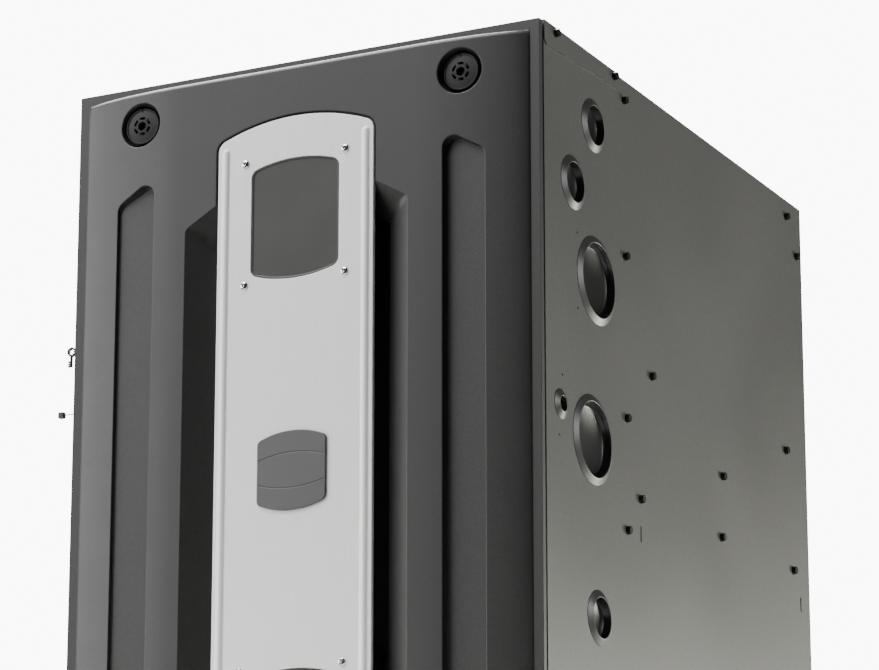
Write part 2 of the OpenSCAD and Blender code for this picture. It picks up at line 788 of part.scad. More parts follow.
burner_x = -45;
burner_z = cab_h - burner_drop;
burner_box_side = 15;
box_x0 = tube_x(0) - tube_r - burner_box_side;
box_x1 = tube_x(tube_n - 1) + tube_r + burner_box_side;
box_y0 = y_vest - burner_box_d;
box_z0 = burner_z - burner_box_h / 2;
rod_r = 2.5;
orifice_r = 5;
function tube_x(i) = burner_x + (i - (tube_n - 1) / 2) * tube_pitch;

module burner_box() {
    color([0.55, 0.56, 0.57])
    difference() {
        bar([box_x1 - box_x0, burner_box_d, burner_box_h], [box_x0, box_y0, box_z0]);
        bar([box_x1 - box_x0 - 2 * sheet, burner_box_d, burner_box_h - 2 * sheet],
            [box_x0 + sheet, box_y0 + sheet, box_z0 + sheet]);
        for (i = [0:tube_n - 1]) rod_y(orifice_r + fit, 2 * sheet, [tube_x(i), box_y0 - sheet / 2, burner_z]);
        rod_x(rod_r + fit, 2 * sheet, [box_x0 - sheet / 2, probe_y, burner_z]);
        rod_x(rod_r + fit, 2 * sheet, [box_x1 - 1.5 * sheet, probe_y, burner_z]);
        rod_z(pipe_r - pipe_wall, 2 * sheet, [intake_x, intake_y, box_z0 + burner_box_h - 1.5 * sheet]);
    }
}

// Flared burner barrels joined by a carrier plate
barrel_r = 14;
mouth_r = 18;
barrel_wall = 1.5;
barrel_gap = 6;
probe_in = 6;
probe_y = y_vest - probe_in;
module burner_rack() {
    len = burner_box_d - sheet - 3 * barrel_gap;
    y0 = box_y0 + sheet + barrel_gap;
    plate_y = y0 + len / 3;
    color([0.6, 0.58, 0.54])
    difference() {
        union() {
            bar([box_x1 - box_x0 - 2 * sheet, sheet, 2 * mouth_r],
                [box_x0 + sheet, plate_y, burner_z - mouth_r]);
            for (i = [0:tube_n - 1]) translate([tube_x(i), y0, burner_z]) rotate([-90, 0, 0]) rotate_extrude()
                polygon([[mouth_r - barrel_wall, 0], [mouth_r, 0], [barrel_r, len / 4], [barrel_r, len],
                    [barrel_r - barrel_wall, len], [barrel_r - barrel_wall, len / 4]]);
        }
        for (i = [0:tube_n - 1]) rod_y(barrel_r - barrel_wall, 2 * sheet,
            [tube_x(i), plate_y - sheet / 2, burner_z]);
    }
}

valve_size = [52, 58, 78];
valve_gap = 4;
valve_side = 14;
manifold_y = box_y0 - valve_gap - valve_size[1] / 2;
valve_x0 = valve_side - half_w;
valve_x1 = valve_x0 + valve_size[0];
module gas_manifold() {
    color([0.25, 0.25, 0.26])
    union() {
        difference() {
            rod_x(manifold_r, box_x1 - valve_x1 - manifold_r, [valve_x1, manifold_y, burner_z]);
            rod_x(manifold_r - 3 * sheet, box_x1 - valve_x1 - 2 * manifold_r,
                [valve_x1 - over, manifold_y, burner_z]);
        }
        for (i = [0:tube_n - 1]) difference() {
            rod_y(orifice_r, box_y0 + 3 * sheet - manifold_y - manifold_r / 2,
                [tube_x(i), manifold_y + manifold_r / 2, burner_z]);
            rod_y(orifice_r / 4, 2 * burner_box_d, [tube_x(i), manifold_y, burner_z]);
        }
    }
}

solenoid_r = 15;
solenoid_h = 18;
inlet_r = 13;
inlet_bore_r = 9.5;
inlet_l = 24;
valve_knob_rise = 22;
valve_knob_z = burner_z + valve_knob_rise;
valve_y0 = manifold_y - valve_size[1] / 2;
valve_mid_x = valve_x0 + valve_size[0] / 2;
valve_shaft_r = 3;
module gas_valve() {
    color([0.66, 0.67, 0.68])
    difference() {
        union() {
            bar(valve_size, [valve_x0, valve_y0, burner_z - valve_size[2] / 2]);
            rod_z(solenoid_r, solenoid_h, [valve_mid_x, manifold_y, burner_z + valve_size[2] / 2]);
            rod_z(inlet_r, inlet_l, [valve_mid_x, manifold_y, burner_z - valve_size[2] / 2 - inlet_l]);
        }
        rod_z(inlet_bore_r, inlet_l + over,
            [valve_mid_x, manifold_y, burner_z - valve_size[2] / 2 - inlet_l - over]);
        rod_y(valve_shaft_r + shaft_fit, 2 * valve_shaft_r + over,
            [valve_mid_x, valve_y0 - over, valve_knob_z]);
    }
}

valve_knob_r = 12;
valve_knob_t = 8;
valve_grip_w = 5;
module gas_valve_knob() {
    color([0.75, 0.12, 0.1])
    union() {
        rod_y(valve_knob_r, valve_knob_t / 2,
            [valve_mid_x, valve_y0 - valve_knob_t / 2 - seat, valve_knob_z]);
        bar([valve_grip_w, valve_knob_t, 1.8 * valve_knob_r],
            [valve_mid_x - valve_grip_w / 2, valve_y0 - valve_knob_t - seat,
                valve_knob_z - 0.9 * valve_knob_r]);
        rod_y(valve_shaft_r, 2 * valve_shaft_r,
            [valve_mid_x, valve_y0 - seat - valve_shaft_r / 2, valve_knob_z]);
    }
}

probe_base = [9, 16, 16];
probe_l = 26;
module probe(side) {
    translate([side > 0 ? box_x1 : box_x0, probe_y, burner_z]) mirror([side > 0 ? 0 : 1, 0, 0]) {
        bar(probe_base, [0, -probe_base[1] / 2 - rod_r, -probe_base[2] / 2]);
        rod_x(rod_r, probe_l + over, [-probe_l, 0, 0]);
    }
}

module igniter() { color([0.85, 0.82, 0.75]) probe(1); }
module flame_sensor() { color([0.8, 0.8, 0.82]) probe(-1); }

rollout_r = 11;
rollout_t = 9;
rollout_in = 18;
rollout_x = box_x1 - rollout_in;
rollout_z = box_z0 + burner_box_h - rollout_in;
button_r = 2.6;
button_out = 3;
button_travel = 1.5;
module rollout_switch() {
    color([0.2, 0.2, 0.2])
    difference() {
        rod_y(rollout_r, rollout_t, [rollout_x, box_y0 - rollout_t, rollout_z]);
        rod_y(button_r + shaft_fit, rollout_t - sheet + over,
            [rollout_x, box_y0 - rollout_t - over, rollout_z]);
    }
}

module rollout_button() {
    color([0.8, 0.1, 0.1])
    rod_y(button_r, button_out + rollout_t - sheet - button_travel - seat,
        [rollout_x, box_y0 - rollout_t - button_out, rollout_z]);
}

// Inducer on the front of the header

inducer_z = deck_z + inducer_rise;
header_y0 = y_vest - header_d;
volute_y0 = header_y0 - volute_d;
port_r = 26;
volute_wall = 2;
throat_l = 48;
throat_top = inducer_z + volute_r + throat_l;
inducer_shaft_r = 4;
hose_rise = 50;
hose_z = inducer_z + hose_rise;
nipple_r = 3;
nipple_l = 12;
hose_r = 5;
// Where the hose's lower side meets the inducer's rim
hose_low = hose_rise - hose_r;
hose_x1 = inducer_x - sqrt(volute_r * volute_r - hose_low * hose_low) - seat;
module inducer_housing() {
    color([0.14, 0.14, 0.15])
    difference() {
        union() {
            rod_y(volute_r, volute_d, [inducer_x, volute_y0, inducer_z]);
            rod_z(throat_r, throat_top - inducer_z, [vent_x, vent_y, inducer_z]);
            rod_x(nipple_r, volute_r, [hose_x1 - nipple_l, vent_y, hose_z]);
        }
        rod_y(volute_r - volute_wall, volute_d - 2 * volute_wall,
            [inducer_x, volute_y0 + volute_wall, inducer_z]);
        rod_y(port_r, 2 * volute_wall, [inducer_x, header_y0 - 1.5 * volute_wall, inducer_z]);
        rod_y(inducer_shaft_r + seat, 2 * volute_wall, [inducer_x, volute_y0 - volute_wall / 2, inducer_z]);
        rod_z(throat_r - volute_wall, throat_top, [vent_x, vent_y, inducer_z + volute_wall]);
        rod_x(nipple_r / 2, volute_r, [hose_x1 - nipple_l - over, vent_y, hose_z]);
    }
}

vane_n = 8;
vane_t = 2;
hub_r = 12;
wheel_gap = 6;
module inducer_wheel() {
    y0 = volute_y0 + volute_wall + wheel_gap;
    depth = volute_d - 2 * volute_wall - 2 * wheel_gap;
    color([0.3, 0.3, 0.32])
    translate([inducer_x, y0, inducer_z]) rotate([-90, 0, 0]) difference() {
        union() {
            cylinder(r = inducer_wheel_r, h = vane_t);
            cylinder(r = hub_r, h = depth);
            for (k = [0:vane_n - 1]) rotate(k * 360 / vane_n)
                bar([inducer_wheel_r - hub_r, vane_t, depth], [hub_r - vane_t, -vane_t / 2, 0]);
        }
        translate([0, 0, -over]) cylinder(r = inducer_shaft_r + fit / 3, h = depth + 2 * over);
    }
}

inducer_motor_d = 46;
fan_gap = 3;
fan_t = 9;
fan_r = 33;
fan_blade_n = 6;
module inducer_motor() {
    color([0.35, 0.35, 0.36])
    difference() {
        union() {
            rod_y(inducer_motor_r, inducer_motor_d, [inducer_x, volute_y0 - inducer_motor_d, inducer_z]);
            for (s = [-1, 1]) bar([inducer_motor_r / 3, vane_t, 2.6 * inducer_motor_r],
                [inducer_x + s * inducer_motor_r / 2 - inducer_motor_r / 6, volute_y0 - vane_t,
                    inducer_z - 1.3 * inducer_motor_r]);
        }
        rod_y(inducer_shaft_r + shaft_fit, inducer_motor_d + 2 * over,
            [inducer_x, volute_y0 - inducer_motor_d - over, inducer_z]);
    }
}

module inducer_shaft() {
    y0 = volute_y0 - inducer_motor_d - fan_gap - fan_t;
    color([0.7, 0.7, 0.72])
    translate([inducer_x, y0, inducer_z]) rotate([-90, 0, 0]) union() {
        cylinder(r = inducer_shaft_r, h = fan_t + fan_gap + inducer_motor_d + volute_d - volute_wall - wheel_gap);
        cylinder(r = hub_r, h = vane_t);
        for (k = [0:fan_blade_n - 1]) rotate(k * 360 / fan_blade_n)
            bar([fan_r, vane_t, fan_t - vane_t], [0, -vane_t / 2, 0]);
    }
}

coupling_out = 14;
coupling_top = cab_h + sheet + coupling_out;
module vent_pipe() {
    color([0.9, 0.9, 0.88])
    difference() {
        rod_z(pipe_r, vent_pipe_top - vent_pipe_z0, [vent_x, vent_y, vent_pipe_z0]);
        rod_z(pipe_r - pipe_wall, vent_pipe_top, [vent_x, vent_y, vent_pipe_z0 - over]);
    }
}

throat_lap = 30;
socket_stop = 2;
vent_pipe_z0 = throat_top - throat_lap;
vent_pipe_top = coupling_top - socket_l - socket_stop;
coupling_low = 34;
module pipe_coupling(x, y, z0, z1, step) {
    difference() {
        rod_z(coupling_r, z1 - z0, [x, y, z0]);
        rod_z(pipe_r + pipe_fit, socket_l + over, [x, y, z1 - socket_l]);
        rod_z(pipe_r - pipe_wall, z1 - z0 + 2 * over, [x, y, z0 - over]);
        if (step > 0) rod_z(pipe_r + pipe_fit, step + over, [x, y, z0 - over]);
    }
}

module vent_coupling() {
    color([0.2, 0.2, 0.2])
    pipe_coupling(vent_x, vent_y, vent_pipe_top - coupling_low, coupling_top, coupling_low);
}

module intake_coupling() {
    color([0.2, 0.2, 0.2])
    pipe_coupling(intake_x, intake_y, box_z0 + burner_box_h, coupling_top, 0);
}

module header_box() {
    color([0.16, 0.16, 0.17])
    difference() {
        bar([header_w, header_d, header_h], [header_x - header_w / 2, header_y0, deck_z]);
        bar([header_w - 2 * header_wall, header_d, header_h - 2 * header_wall],
            [header_x - header_w / 2 + header_wall, header_y0 + header_wall, deck_z + header_wall]);
        rod_y(port_r, 2 * header_wall, [inducer_x, header_y0 - header_wall / 2, inducer_z]);
        rod_x(drain_bore_r, 2 * header_wall, [header_x - header_w / 2 - header_wall / 2, drain_y, drain_z]);
    }
}

switch_r = 26;
switch_d = 24;
switch_gap = 4;
switch_x = header_x - header_w / 2 - switch_gap - switch_r;
hose_fit = 0.05;
module pressure_switch() {
    color([0.75, 0.75, 0.7])
    union() {
        rod_y(switch_r, switch_d, [switch_x, y_vest - switch_d, hose_z]);
        rod_x(nipple_r, switch_r + hose_r, [switch_x, hose_y, hose_z]);
        bar([2.6 * switch_r, sheet, switch_r],
            [switch_x - 1.3 * switch_r, y_vest - sheet, hose_z - switch_r / 2]);
    }
}

hose_y = y_vest - switch_d / 2;
// The hose leaves the switch, crosses to the inducer's depth in two bends, and slips on its nipple
module hose_path(r) {
    x0 = switch_x + switch_r + seat;
    bend = (hose_y - vent_y) / 2;
    mid = (x0 + hose_x1) / 2;
    rod_x(r, mid - bend - x0, [x0, hose_y, hose_z]);
    rod_x(r, hose_x1 - mid - bend, [mid + bend, vent_y, hose_z]);
    translate([mid - bend, hose_y - bend, hose_z]) rotate_extrude(angle = 90) translate([bend, 0]) circle(r);
    translate([mid + bend, vent_y + bend, hose_z]) rotate(180) rotate_extrude(angle = 90)
        translate([bend, 0]) circle(r);
}

module pressure_hose() {
    color([0.12, 0.12, 0.12])
    difference() {
        hose_path(hose_r);
        hose_path(nipple_r + hose_fit);
    }
}

trap_size = [58, 60, 92];
drain_l = 34;
trap_x1 = header_x - header_w / 2 - drain_l;
drain_r = 10;
drain_bore_r = 7;
drain_y = header_y0 + header_d / 2;
drain_rise = 32;
drain_z = deck_z + drain_rise;
rib_n = 5;
rib_h = 1.6;
module condensate_trap() {
    color([0.17, 0.17, 0.18])
    difference() {
        bar(trap_size, [trap_x1 - trap_size[0], y_vest - trap_size[1], deck_z]);
        rod_x(drain_bore_r, trap_size[0] / 2 + over, [trap_x1 - trap_size[0] / 2, drain_y, drain_z]);
        rod_z(drain_bore_r, trap_size[2], [trap_x1 - trap_size[0] / 2, drain_y, drain_z]);
    }
}

// Short ribbed hose from the header to the trap
module drain_hose() {
    step = drain_l / rib_n;
    color([0.1, 0.1, 0.1])
    translate([trap_x1, drain_y, drain_z]) rotate([0, 90, 0]) rotate_extrude() polygon(concat(
        [[drain_bore_r, 0]],
        [for (k = [0:rib_n - 1]) each [[drain_r, k * step], [drain_r, (k + 0.3) * step],
            [drain_r + rib_h, (k + 0.4) * step], [drain_r + rib_h, (k + 0.8) * step],
                [drain_r, (k + 0.9) * step]]],
        [[drain_r, drain_l], [drain_bore_r, drain_l]]));
}

// Heat exchanger behind the vestibule panel

collector_d = 50;
collector_gap = 82;
turn_gap = 16;
coil_gap = 12;
coil_h = 100;
coil_top = deck_z + coil_gap + coil_h;
bend_r = (burner_z - tube_r - coil_clear - coil_top) / 4;
tube_back = y_back - collector_gap - collector_d;
tube_turn = y_vest_back + turn_gap + bend_r + tube_r;
module serpentine(r) {
    z1 = burner_z - 2 * bend_r;
    z2 = z1 - 2 * bend_r;
    rod_y(r, tube_back - y_vest, [0, y_vest, burner_z]);
    translate([0, tube_back, burner_z - bend_r]) rotate([0, -90, 0]) rotate_extrude(angle = 180)
        translate([bend_r, 0]) circle(r);
    rod_y(r, tube_back - tube_turn, [0, tube_turn, z1]);
    translate([0, tube_turn, z1 - bend_r]) rotate([0, -90, 0]) rotate(180) rotate_extrude(angle = 180)
        translate([bend_r, 0]) circle(r);
    rod_y(r, tube_back - tube_turn, [0, tube_turn, z2]);
}

module heat_exchanger_tubes() {
    color([0.62, 0.6, 0.58])
    for (i = [0:tube_n - 1]) translate([tube_x(i), 0, 0]) difference() {
        serpentine(tube_r);
        serpentine(tube_r - tube_wall);
    }
}

collector_side = 18;
collector_wall = 2;
module collector_box() {
    z0 = deck_z + coil_gap;
    color([0.6, 0.6, 0.62])
    difference() {
        bar([tube_x(tube_n - 1) - tube_x(0) + 2 * tube_r + 2 * collector_side, collector_d,
            burner_z - 4 * bend_r + tube_r + collector_side - z0],
            [tube_x(0) - tube_r - collector_side, tube_back, z0]);
        bar([tube_x(tube_n - 1) - tube_x(0) + 2 * tube_r + 2 * collector_side - 2 * collector_wall,
            collector_d - 2 * collector_wall,
            burner_z - 4 * bend_r + tube_r + collector_side - z0 - 2 * collector_wall],
            [tube_x(0) - tube_r - collector_side + collector_wall, tube_back + collector_wall,
                z0 + collector_wall]);
        for (i = [0:tube_n - 1]) rod_y(tube_r - tube_wall, collector_d / 2,
            [tube_x(i), tube_back - over, burner_z - 4 * bend_r]);
    }
}

// Secondary coil of fins on straight tubes between two end plates
fin_n = 26;
fin_t = 1.4;
coil_tube_n = 6;
coil_tube_r = 8;
coil_x0 = tube_x(0) - tube_r - collector_side;
coil_x1 = tube_x(tube_n - 1) + tube_r + collector_side;
coil_front_gap = 6;
coil_y0 = y_vest_back + coil_front_gap;
module secondary_coil() {
    pitch = (tube_back - coil_y0 - fin_t) / (fin_n - 1);
    step = (coil_x1 - coil_x0) / coil_tube_n;
    color([0.7, 0.71, 0.72])
    union() {
        for (k = [0:fin_n - 1]) bar([coil_x1 - coil_x0, fin_t, coil_h],
            [coil_x0, coil_y0 + k * pitch, deck_z + coil_gap]);
        for (k = [0:coil_tube_n - 1]) for (row = [1, 3]) rod_y(coil_tube_r, tube_back - coil_y0 - fin_t / 2,
            [coil_x0 + (k + 0.5) * step, coil_y0, deck_z + coil_gap + row * coil_h / 4]);
        for (x = [coil_x0, coil_x1 - fin_t])
            bar([fin_t, tube_back - coil_y0, coil_h + coil_gap], [x, coil_y0, deck_z]);
    }
}

// Blower compartment

blower_y = 40;
scroll_gap = 6.925;
scroll_a0 = 60;
scroll_sweep = 240;
blower_z = sheet + scroll_gap + scroll_r0 + scroll_growth * (scroll_a0 + 90) / scroll_sweep;
scroll_steps = 24;
inlet_ring_r = 108;
function scroll_point(k, g) = let(a = scroll_a0 - scroll_sweep * k / scroll_steps,
    r = scroll_r0 + scroll_growth * k / scroll_steps + g) [blower_y + r * cos(a), blower_z + r * sin(a)];
scroll_top = deck_z - sheet;
outlet_y0 = blower_y - scroll_r0 - scroll_growth;
outlet_y1 = blower_y + scroll_r0 * cos(scroll_a0);

module scroll_outline(g) {
    pts = [for (k = [0:scroll_steps]) scroll_point(k, g)];
    polygon(concat(pts, [[outlet_y0 - g, scroll_top], [outlet_y1 + g, scroll_top]]));
}

module blower_housing() {
    color([0.58, 0.59, 0.6])
    difference() {
        slab_x(-scroll_half, scroll_half) scroll_outline(0);
        slab_x(sheet - scroll_half, scroll_half - sheet) difference() {
            scroll_outline(-sheet);
            translate([outlet_y0 - over, scroll_top - sheet]) square([2 * scroll_r0 + over, sheet + over]);
        }
        rod_x(inlet_ring_r, 2 * scroll_half + 2 * over, [-scroll_half - over, blower_y, blower_z]);
        bar([2 * scroll_half - 2 * flange_w, outlet_y1 - outlet_y0 - 2 * flange_w, 2 * flange_w],
            [flange_w - scroll_half, outlet_y0 + flange_w, scroll_top - flange_w]);
    }
}

blade_w = 19;
blade_t = 1.6;
blade_lean = 28;
ring_t = 3;
boss_r = 18;
boss_l = 40;
module blower_wheel() {
    inner = wheel_r - blade_w;
    color([0.66, 0.67, 0.68])
    difference() {
        union() {
            rod_x(wheel_r, ring_t, [-ring_t / 2, blower_y, blower_z]);
            rod_x(boss_r, boss_l, [-ring_t / 2, blower_y, blower_z]);
            for (x = [-wheel_w / 2, wheel_w / 2 - ring_t]) difference() {
                rod_x(wheel_r, ring_t, [x, blower_y, blower_z]);
                rod_x(inner, ring_t + 2 * over, [x - over, blower_y, blower_z]);
            }
            for (k = [0:blade_n - 1]) translate([0, blower_y, blower_z]) rotate([k * 360 / blade_n, 0, 0])
                translate([0, inner + blade_w / 2, 0]) rotate([blade_lean, 0, 0])
                bar([wheel_w, 0.8 * blade_w, blade_t], [-wheel_w / 2, -0.4 * blade_w, -blade_t / 2]);
        }
        rod_x(shaft_r + fit / 3, boss_l + ring_t + 2 * over, [-ring_t - over, blower_y, blower_z]);
    }
}

motor_l = 104;
motor_gap = 12;
shaft_tail = 8;
motor_x1 = -ring_t / 2 - motor_gap;
module blower_shaft() {
    color([0.75, 0.75, 0.77])
    rod_x(shaft_r, boss_l + ring_t + motor_gap + motor_l + shaft_tail,
        [motor_x1 - motor_l - shaft_tail, blower_y, blower_z]);
}

module blower_motor() {
    color([0.2, 0.2, 0.21])
    difference() {
        rod_x(motor_r, motor_l, [motor_x1 - motor_l, blower_y, blower_z]);
        rod_x(shaft_r + shaft_fit, motor_l + 2 * over, [motor_x1 - motor_l - over, blower_y, blower_z]);
    }
}

// Band round the motor with three arms that reach the scroll's left inlet ring
band_w = 60;
band_t = 2.5;
arm_w = 22;
arm_end = 14;
module motor_mount() {
    x0 = -scroll_half - band_t;
    color([0.3, 0.3, 0.31])
    difference() {
        union() {
            rod_x(motor_r + band_t + fit, band_w, [x0, blower_y, blower_z]);
            for (a = [90, 210, 330]) translate([x0, blower_y, blower_z]) rotate([a, 0, 0])
                bar([band_t, inlet_ring_r + arm_end - motor_r - fit, arm_w], [0, motor_r + fit, -arm_w / 2]);
        }
        rod_x(motor_r + fit, band_w + 2 * over, [x0 - over, blower_y, blower_z]);
    }
}

// Tray on the right side panel, with the board and the transformer in front of it
tray_w = 150;
tray_h = 240;
tray_drop = 16;
tray_in = 56;
tray_z = deck_z - flange_w - tray_drop - tray_h;
tray_y = y_front + tray_in;
standoff_l = 8;
standoff_r = 3;
module control_tray() {
    color([0.62, 0.63, 0.64])
    union() {
        bar([tray_w, sheet, tray_h], [in_x - tray_w, tray_y, tray_z]);
        bar([sheet, flange_w, tray_h], [in_x - sheet, tray_y, tray_z]);
        for (x = [board_in, board_in + board_size[0] - 4 * standoff_r])
            for (z = [0, board_size[2] - 4 * standoff_r])
            rod_y(standoff_r, standoff_l, [in_x - tray_w + x + 2 * standoff_r, tray_y - standoff_l,
                board_z + z + 2 * standoff_r]);
    }
}

board_size = [120, 1.8, 130];
board_in = 12;
board_rise = 96;
board_z = tray_z + board_rise;
relay = [16, 14, 20];
relay_n = 4;
terminal = [60, 12, 12];
module control_board() {
    x0 = in_x - tray_w + board_in;
    y0 = tray_y - standoff_l - board_size[1];
    color([0.1, 0.36, 0.2])
    union() {
        bar(board_size, [x0, y0, board_z]);
        for (k = [0:relay_n - 1]) bar(relay,
            [x0 + relay[0] / 2 + k * 1.5 * relay[0], y0 - relay[1], board_z + 1.6 * relay[2]]);
        bar(terminal, [x0 + terminal[2], y0 - terminal[1], board_z + board_size[2] - 1.5 * terminal[2]]);
        rod_y(relay[0] / 2, relay[1], [x0 + board_size[0] - relay[0], y0 - relay[1], board_z + relay[0]]);
    }
}

transformer_size = [56, 26, 48];
coil_bulge = 7;
module transformer() {
    x0 = in_x - tray_w + board_in;
    z0 = tray_z + 2 * board_in;
    color([0.45, 0.33, 0.2])
    union() {
        bar(transformer_size, [x0, tray_y - transformer_size[1], z0]);
        bar([transformer_size[0] / 2, transformer_size[1], transformer_size[2] + 2 * coil_bulge],
            [x0 + transformer_size[0] / 4, tray_y - transformer_size[1], z0 - coil_bulge]);
    }
}

// Interlock switch under the front edge of the deck, held pressed by the closed door
switch_size = [26, 24, 24];
plunger_r = 4;
plunger_travel = 2;
switch_z = deck_z - flange_w - switch_size[2] / 2;
switch_out = 1;
switch_y0 = deck_y0 - switch_out;
plunger_y0 = y_door_back + seat;
plunger_in = 12;
module door_switch() {
    color([0.85, 0.85, 0.82])
    difference() {
        bar(switch_size, [-switch_size[0] / 2, switch_y0, switch_z - switch_size[2] / 2]);
        rod_y(plunger_r + shaft_fit, plunger_in + plunger_travel + over, [0, switch_y0 - over, switch_z]);
    }
}

module door_switch_plunger() {
    color([0.15, 0.15, 0.15])
    rod_y(plunger_r, switch_y0 + plunger_in - seat - plunger_y0, [0, plunger_y0, switch_z]);
}

bottom_panel();
left_side_panel();
right_side_panel();
back_panel();
top_front_rail();
supply_flanges();
vestibule_panel();
blower_deck();
cabinet_liner();
side_screws();
knockout_plugs();
side_clips();
door_pan();
door_shell();
trim_strip();
upper_window();
lower_window();
badge_plate();
trim_screws();
window_housings();
door_gasket();
knob_upper_left();
knob_upper_right();
knob_lower_left();
knob_lower_right();
latch_receptacles();
burner_box();
burner_rack();
gas_manifold();
gas_valve();
gas_valve_knob();
igniter();
flame_sensor();
rollout_switch();
rollout_button();
inducer_housing();
inducer_wheel();
inducer_motor();
inducer_shaft();
vent_pipe();
vent_coupling();
intake_coupling();
header_box();
pressure_switch();
pressure_hose();
condensate_trap();
drain_hose();
heat_exchanger_tubes();
collector_box();
secondary_coil();
blower_housing();
blower_wheel();
blower_shaft();
blower_motor();
motor_mount();
control_tray();
control_board();
transformer();
door_switch();
door_switch_plunger();
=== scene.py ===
# Upright forced air gas furnace with a bowed pull-off door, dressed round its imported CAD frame.
# Sizes are millimetres in the shared frame, X to the right, front at -Y and Z up, until piece() turns them into
# metres. The studio's own places and sizes are metres.
import math

import bmesh
import bpy
import numpy as np
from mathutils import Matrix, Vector
from mathutils.geometry import delaunay_2d_cdt


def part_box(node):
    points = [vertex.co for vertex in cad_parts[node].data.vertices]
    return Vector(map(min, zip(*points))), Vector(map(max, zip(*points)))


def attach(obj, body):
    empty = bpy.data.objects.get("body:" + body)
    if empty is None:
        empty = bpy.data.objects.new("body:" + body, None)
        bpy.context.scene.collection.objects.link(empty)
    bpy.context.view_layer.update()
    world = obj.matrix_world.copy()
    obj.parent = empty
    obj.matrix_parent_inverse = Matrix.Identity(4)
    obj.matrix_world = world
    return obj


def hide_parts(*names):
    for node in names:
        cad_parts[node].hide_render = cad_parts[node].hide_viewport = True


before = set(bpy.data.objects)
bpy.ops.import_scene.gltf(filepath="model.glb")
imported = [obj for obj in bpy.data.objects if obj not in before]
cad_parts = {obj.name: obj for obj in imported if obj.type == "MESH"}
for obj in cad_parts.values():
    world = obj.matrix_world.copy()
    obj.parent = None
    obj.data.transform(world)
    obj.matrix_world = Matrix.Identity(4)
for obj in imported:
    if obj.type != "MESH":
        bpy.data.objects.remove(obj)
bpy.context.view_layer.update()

# Studio: a plain pale floor, soft boxes and the photograph's own viewpoint, low and to the right.
# The white background shows only to the camera, so it lights nothing.
scene = bpy.context.scene


def linear(code):
    """sRGB hex to the linear colour that the shaders take."""
    parts = [int(code[i:i + 2], 16) / 255 for i in (1, 3, 5)]
    return [c / 12.92 if c <= 0.04045 else ((c + 0.055) / 1.055) ** 2.4 for c in parts] + [1.0]


def add(tree, kind, settings=None, inputs=None):
    """One shader node with its settings, its socket values and its links."""
    node = tree.nodes.new(kind)
    for key, value in (settings or {}).items():
        setattr(node, key, value)
    for key, value in (inputs or {}).items():
        if isinstance(value, bpy.types.NodeSocket):
            tree.links.new(value, node.inputs[key])
        else:
            node.inputs[key].default_value = value
    return node


camera = bpy.data.objects.new("camera", bpy.data.cameras.new("camera"))
camera.data.sensor_width = 36
camera.data.lens = 165.18
camera.location = (1.87305, -3.75789, -0.55555)
camera.rotation_euler = (math.radians(106.318), 0, math.radians(26.758))
scene.collection.objects.link(camera)
scene.camera = camera


def softbox(name, place, aim, size, power, colour="#ffffff"):
    """A rectangular lamp at a place, turned to the point it aims at, with its size in metres and its watts."""
    data = bpy.data.lights.new(name, "AREA")
    data.shape = "RECTANGLE"
    data.size, data.size_y = size
    data.energy = power
    data.color = linear(colour)[:3]
    lamp = bpy.data.objects.new(name, data)
    lamp.location = place
    lamp.rotation_euler = (Vector(aim) - Vector(place)).to_track_quat("-Z", "Y").to_euler()
    scene.collection.objects.link(lamp)


softbox("key_left", (-3.9, -2.7, 1.4), (-0.05, -0.3, 0.5), (4.2, 2.4), 176)
softbox("top_front", (-1.0, -1.8, 3.0), (0, -0.3, 0.5), (1.8, 1.4), 98)
softbox("top_behind", (-0.9, 0.4, 2.6), (-0.1, -0.3, 0.9), (2.6, 1.8), 230)
softbox("left_behind", (-2.7, 1.5, 1.2), (-0.2, -0.3, 0.6), (1.4, 2.4), 38)
softbox("right_low", (1.8, 2.5, 0.22), (0.27, 0.2, 0.4), (1.1, 0.7), 70, "#fffff2")
softbox("right_high", (3.0, 0.4, 1.3), (0.27, 0.0, 0.5), (1.2, 1.0), 46)

world = bpy.data.worlds.new("studio")
scene.world = world
world.use_nodes = True
world.node_tree.nodes.clear()
rays = add(world.node_tree, "ShaderNodeLightPath")
dim = add(world.node_tree, "ShaderNodeBackground", inputs={"Color": linear("#d9dbdc"), "Strength": 0.05})
white = add(world.node_tree, "ShaderNodeBackground", inputs={"Color": linear("#ffffff"), "Strength": 10.0})
seen = add(world.node_tree, "ShaderNodeMixShader",
           inputs={0: rays.outputs["Is Camera Ray"], 1: dim.outputs[0], 2: white.outputs[0]})
add(world.node_tree, "ShaderNodeOutputWorld", inputs={"Surface": seen.outputs[0]})


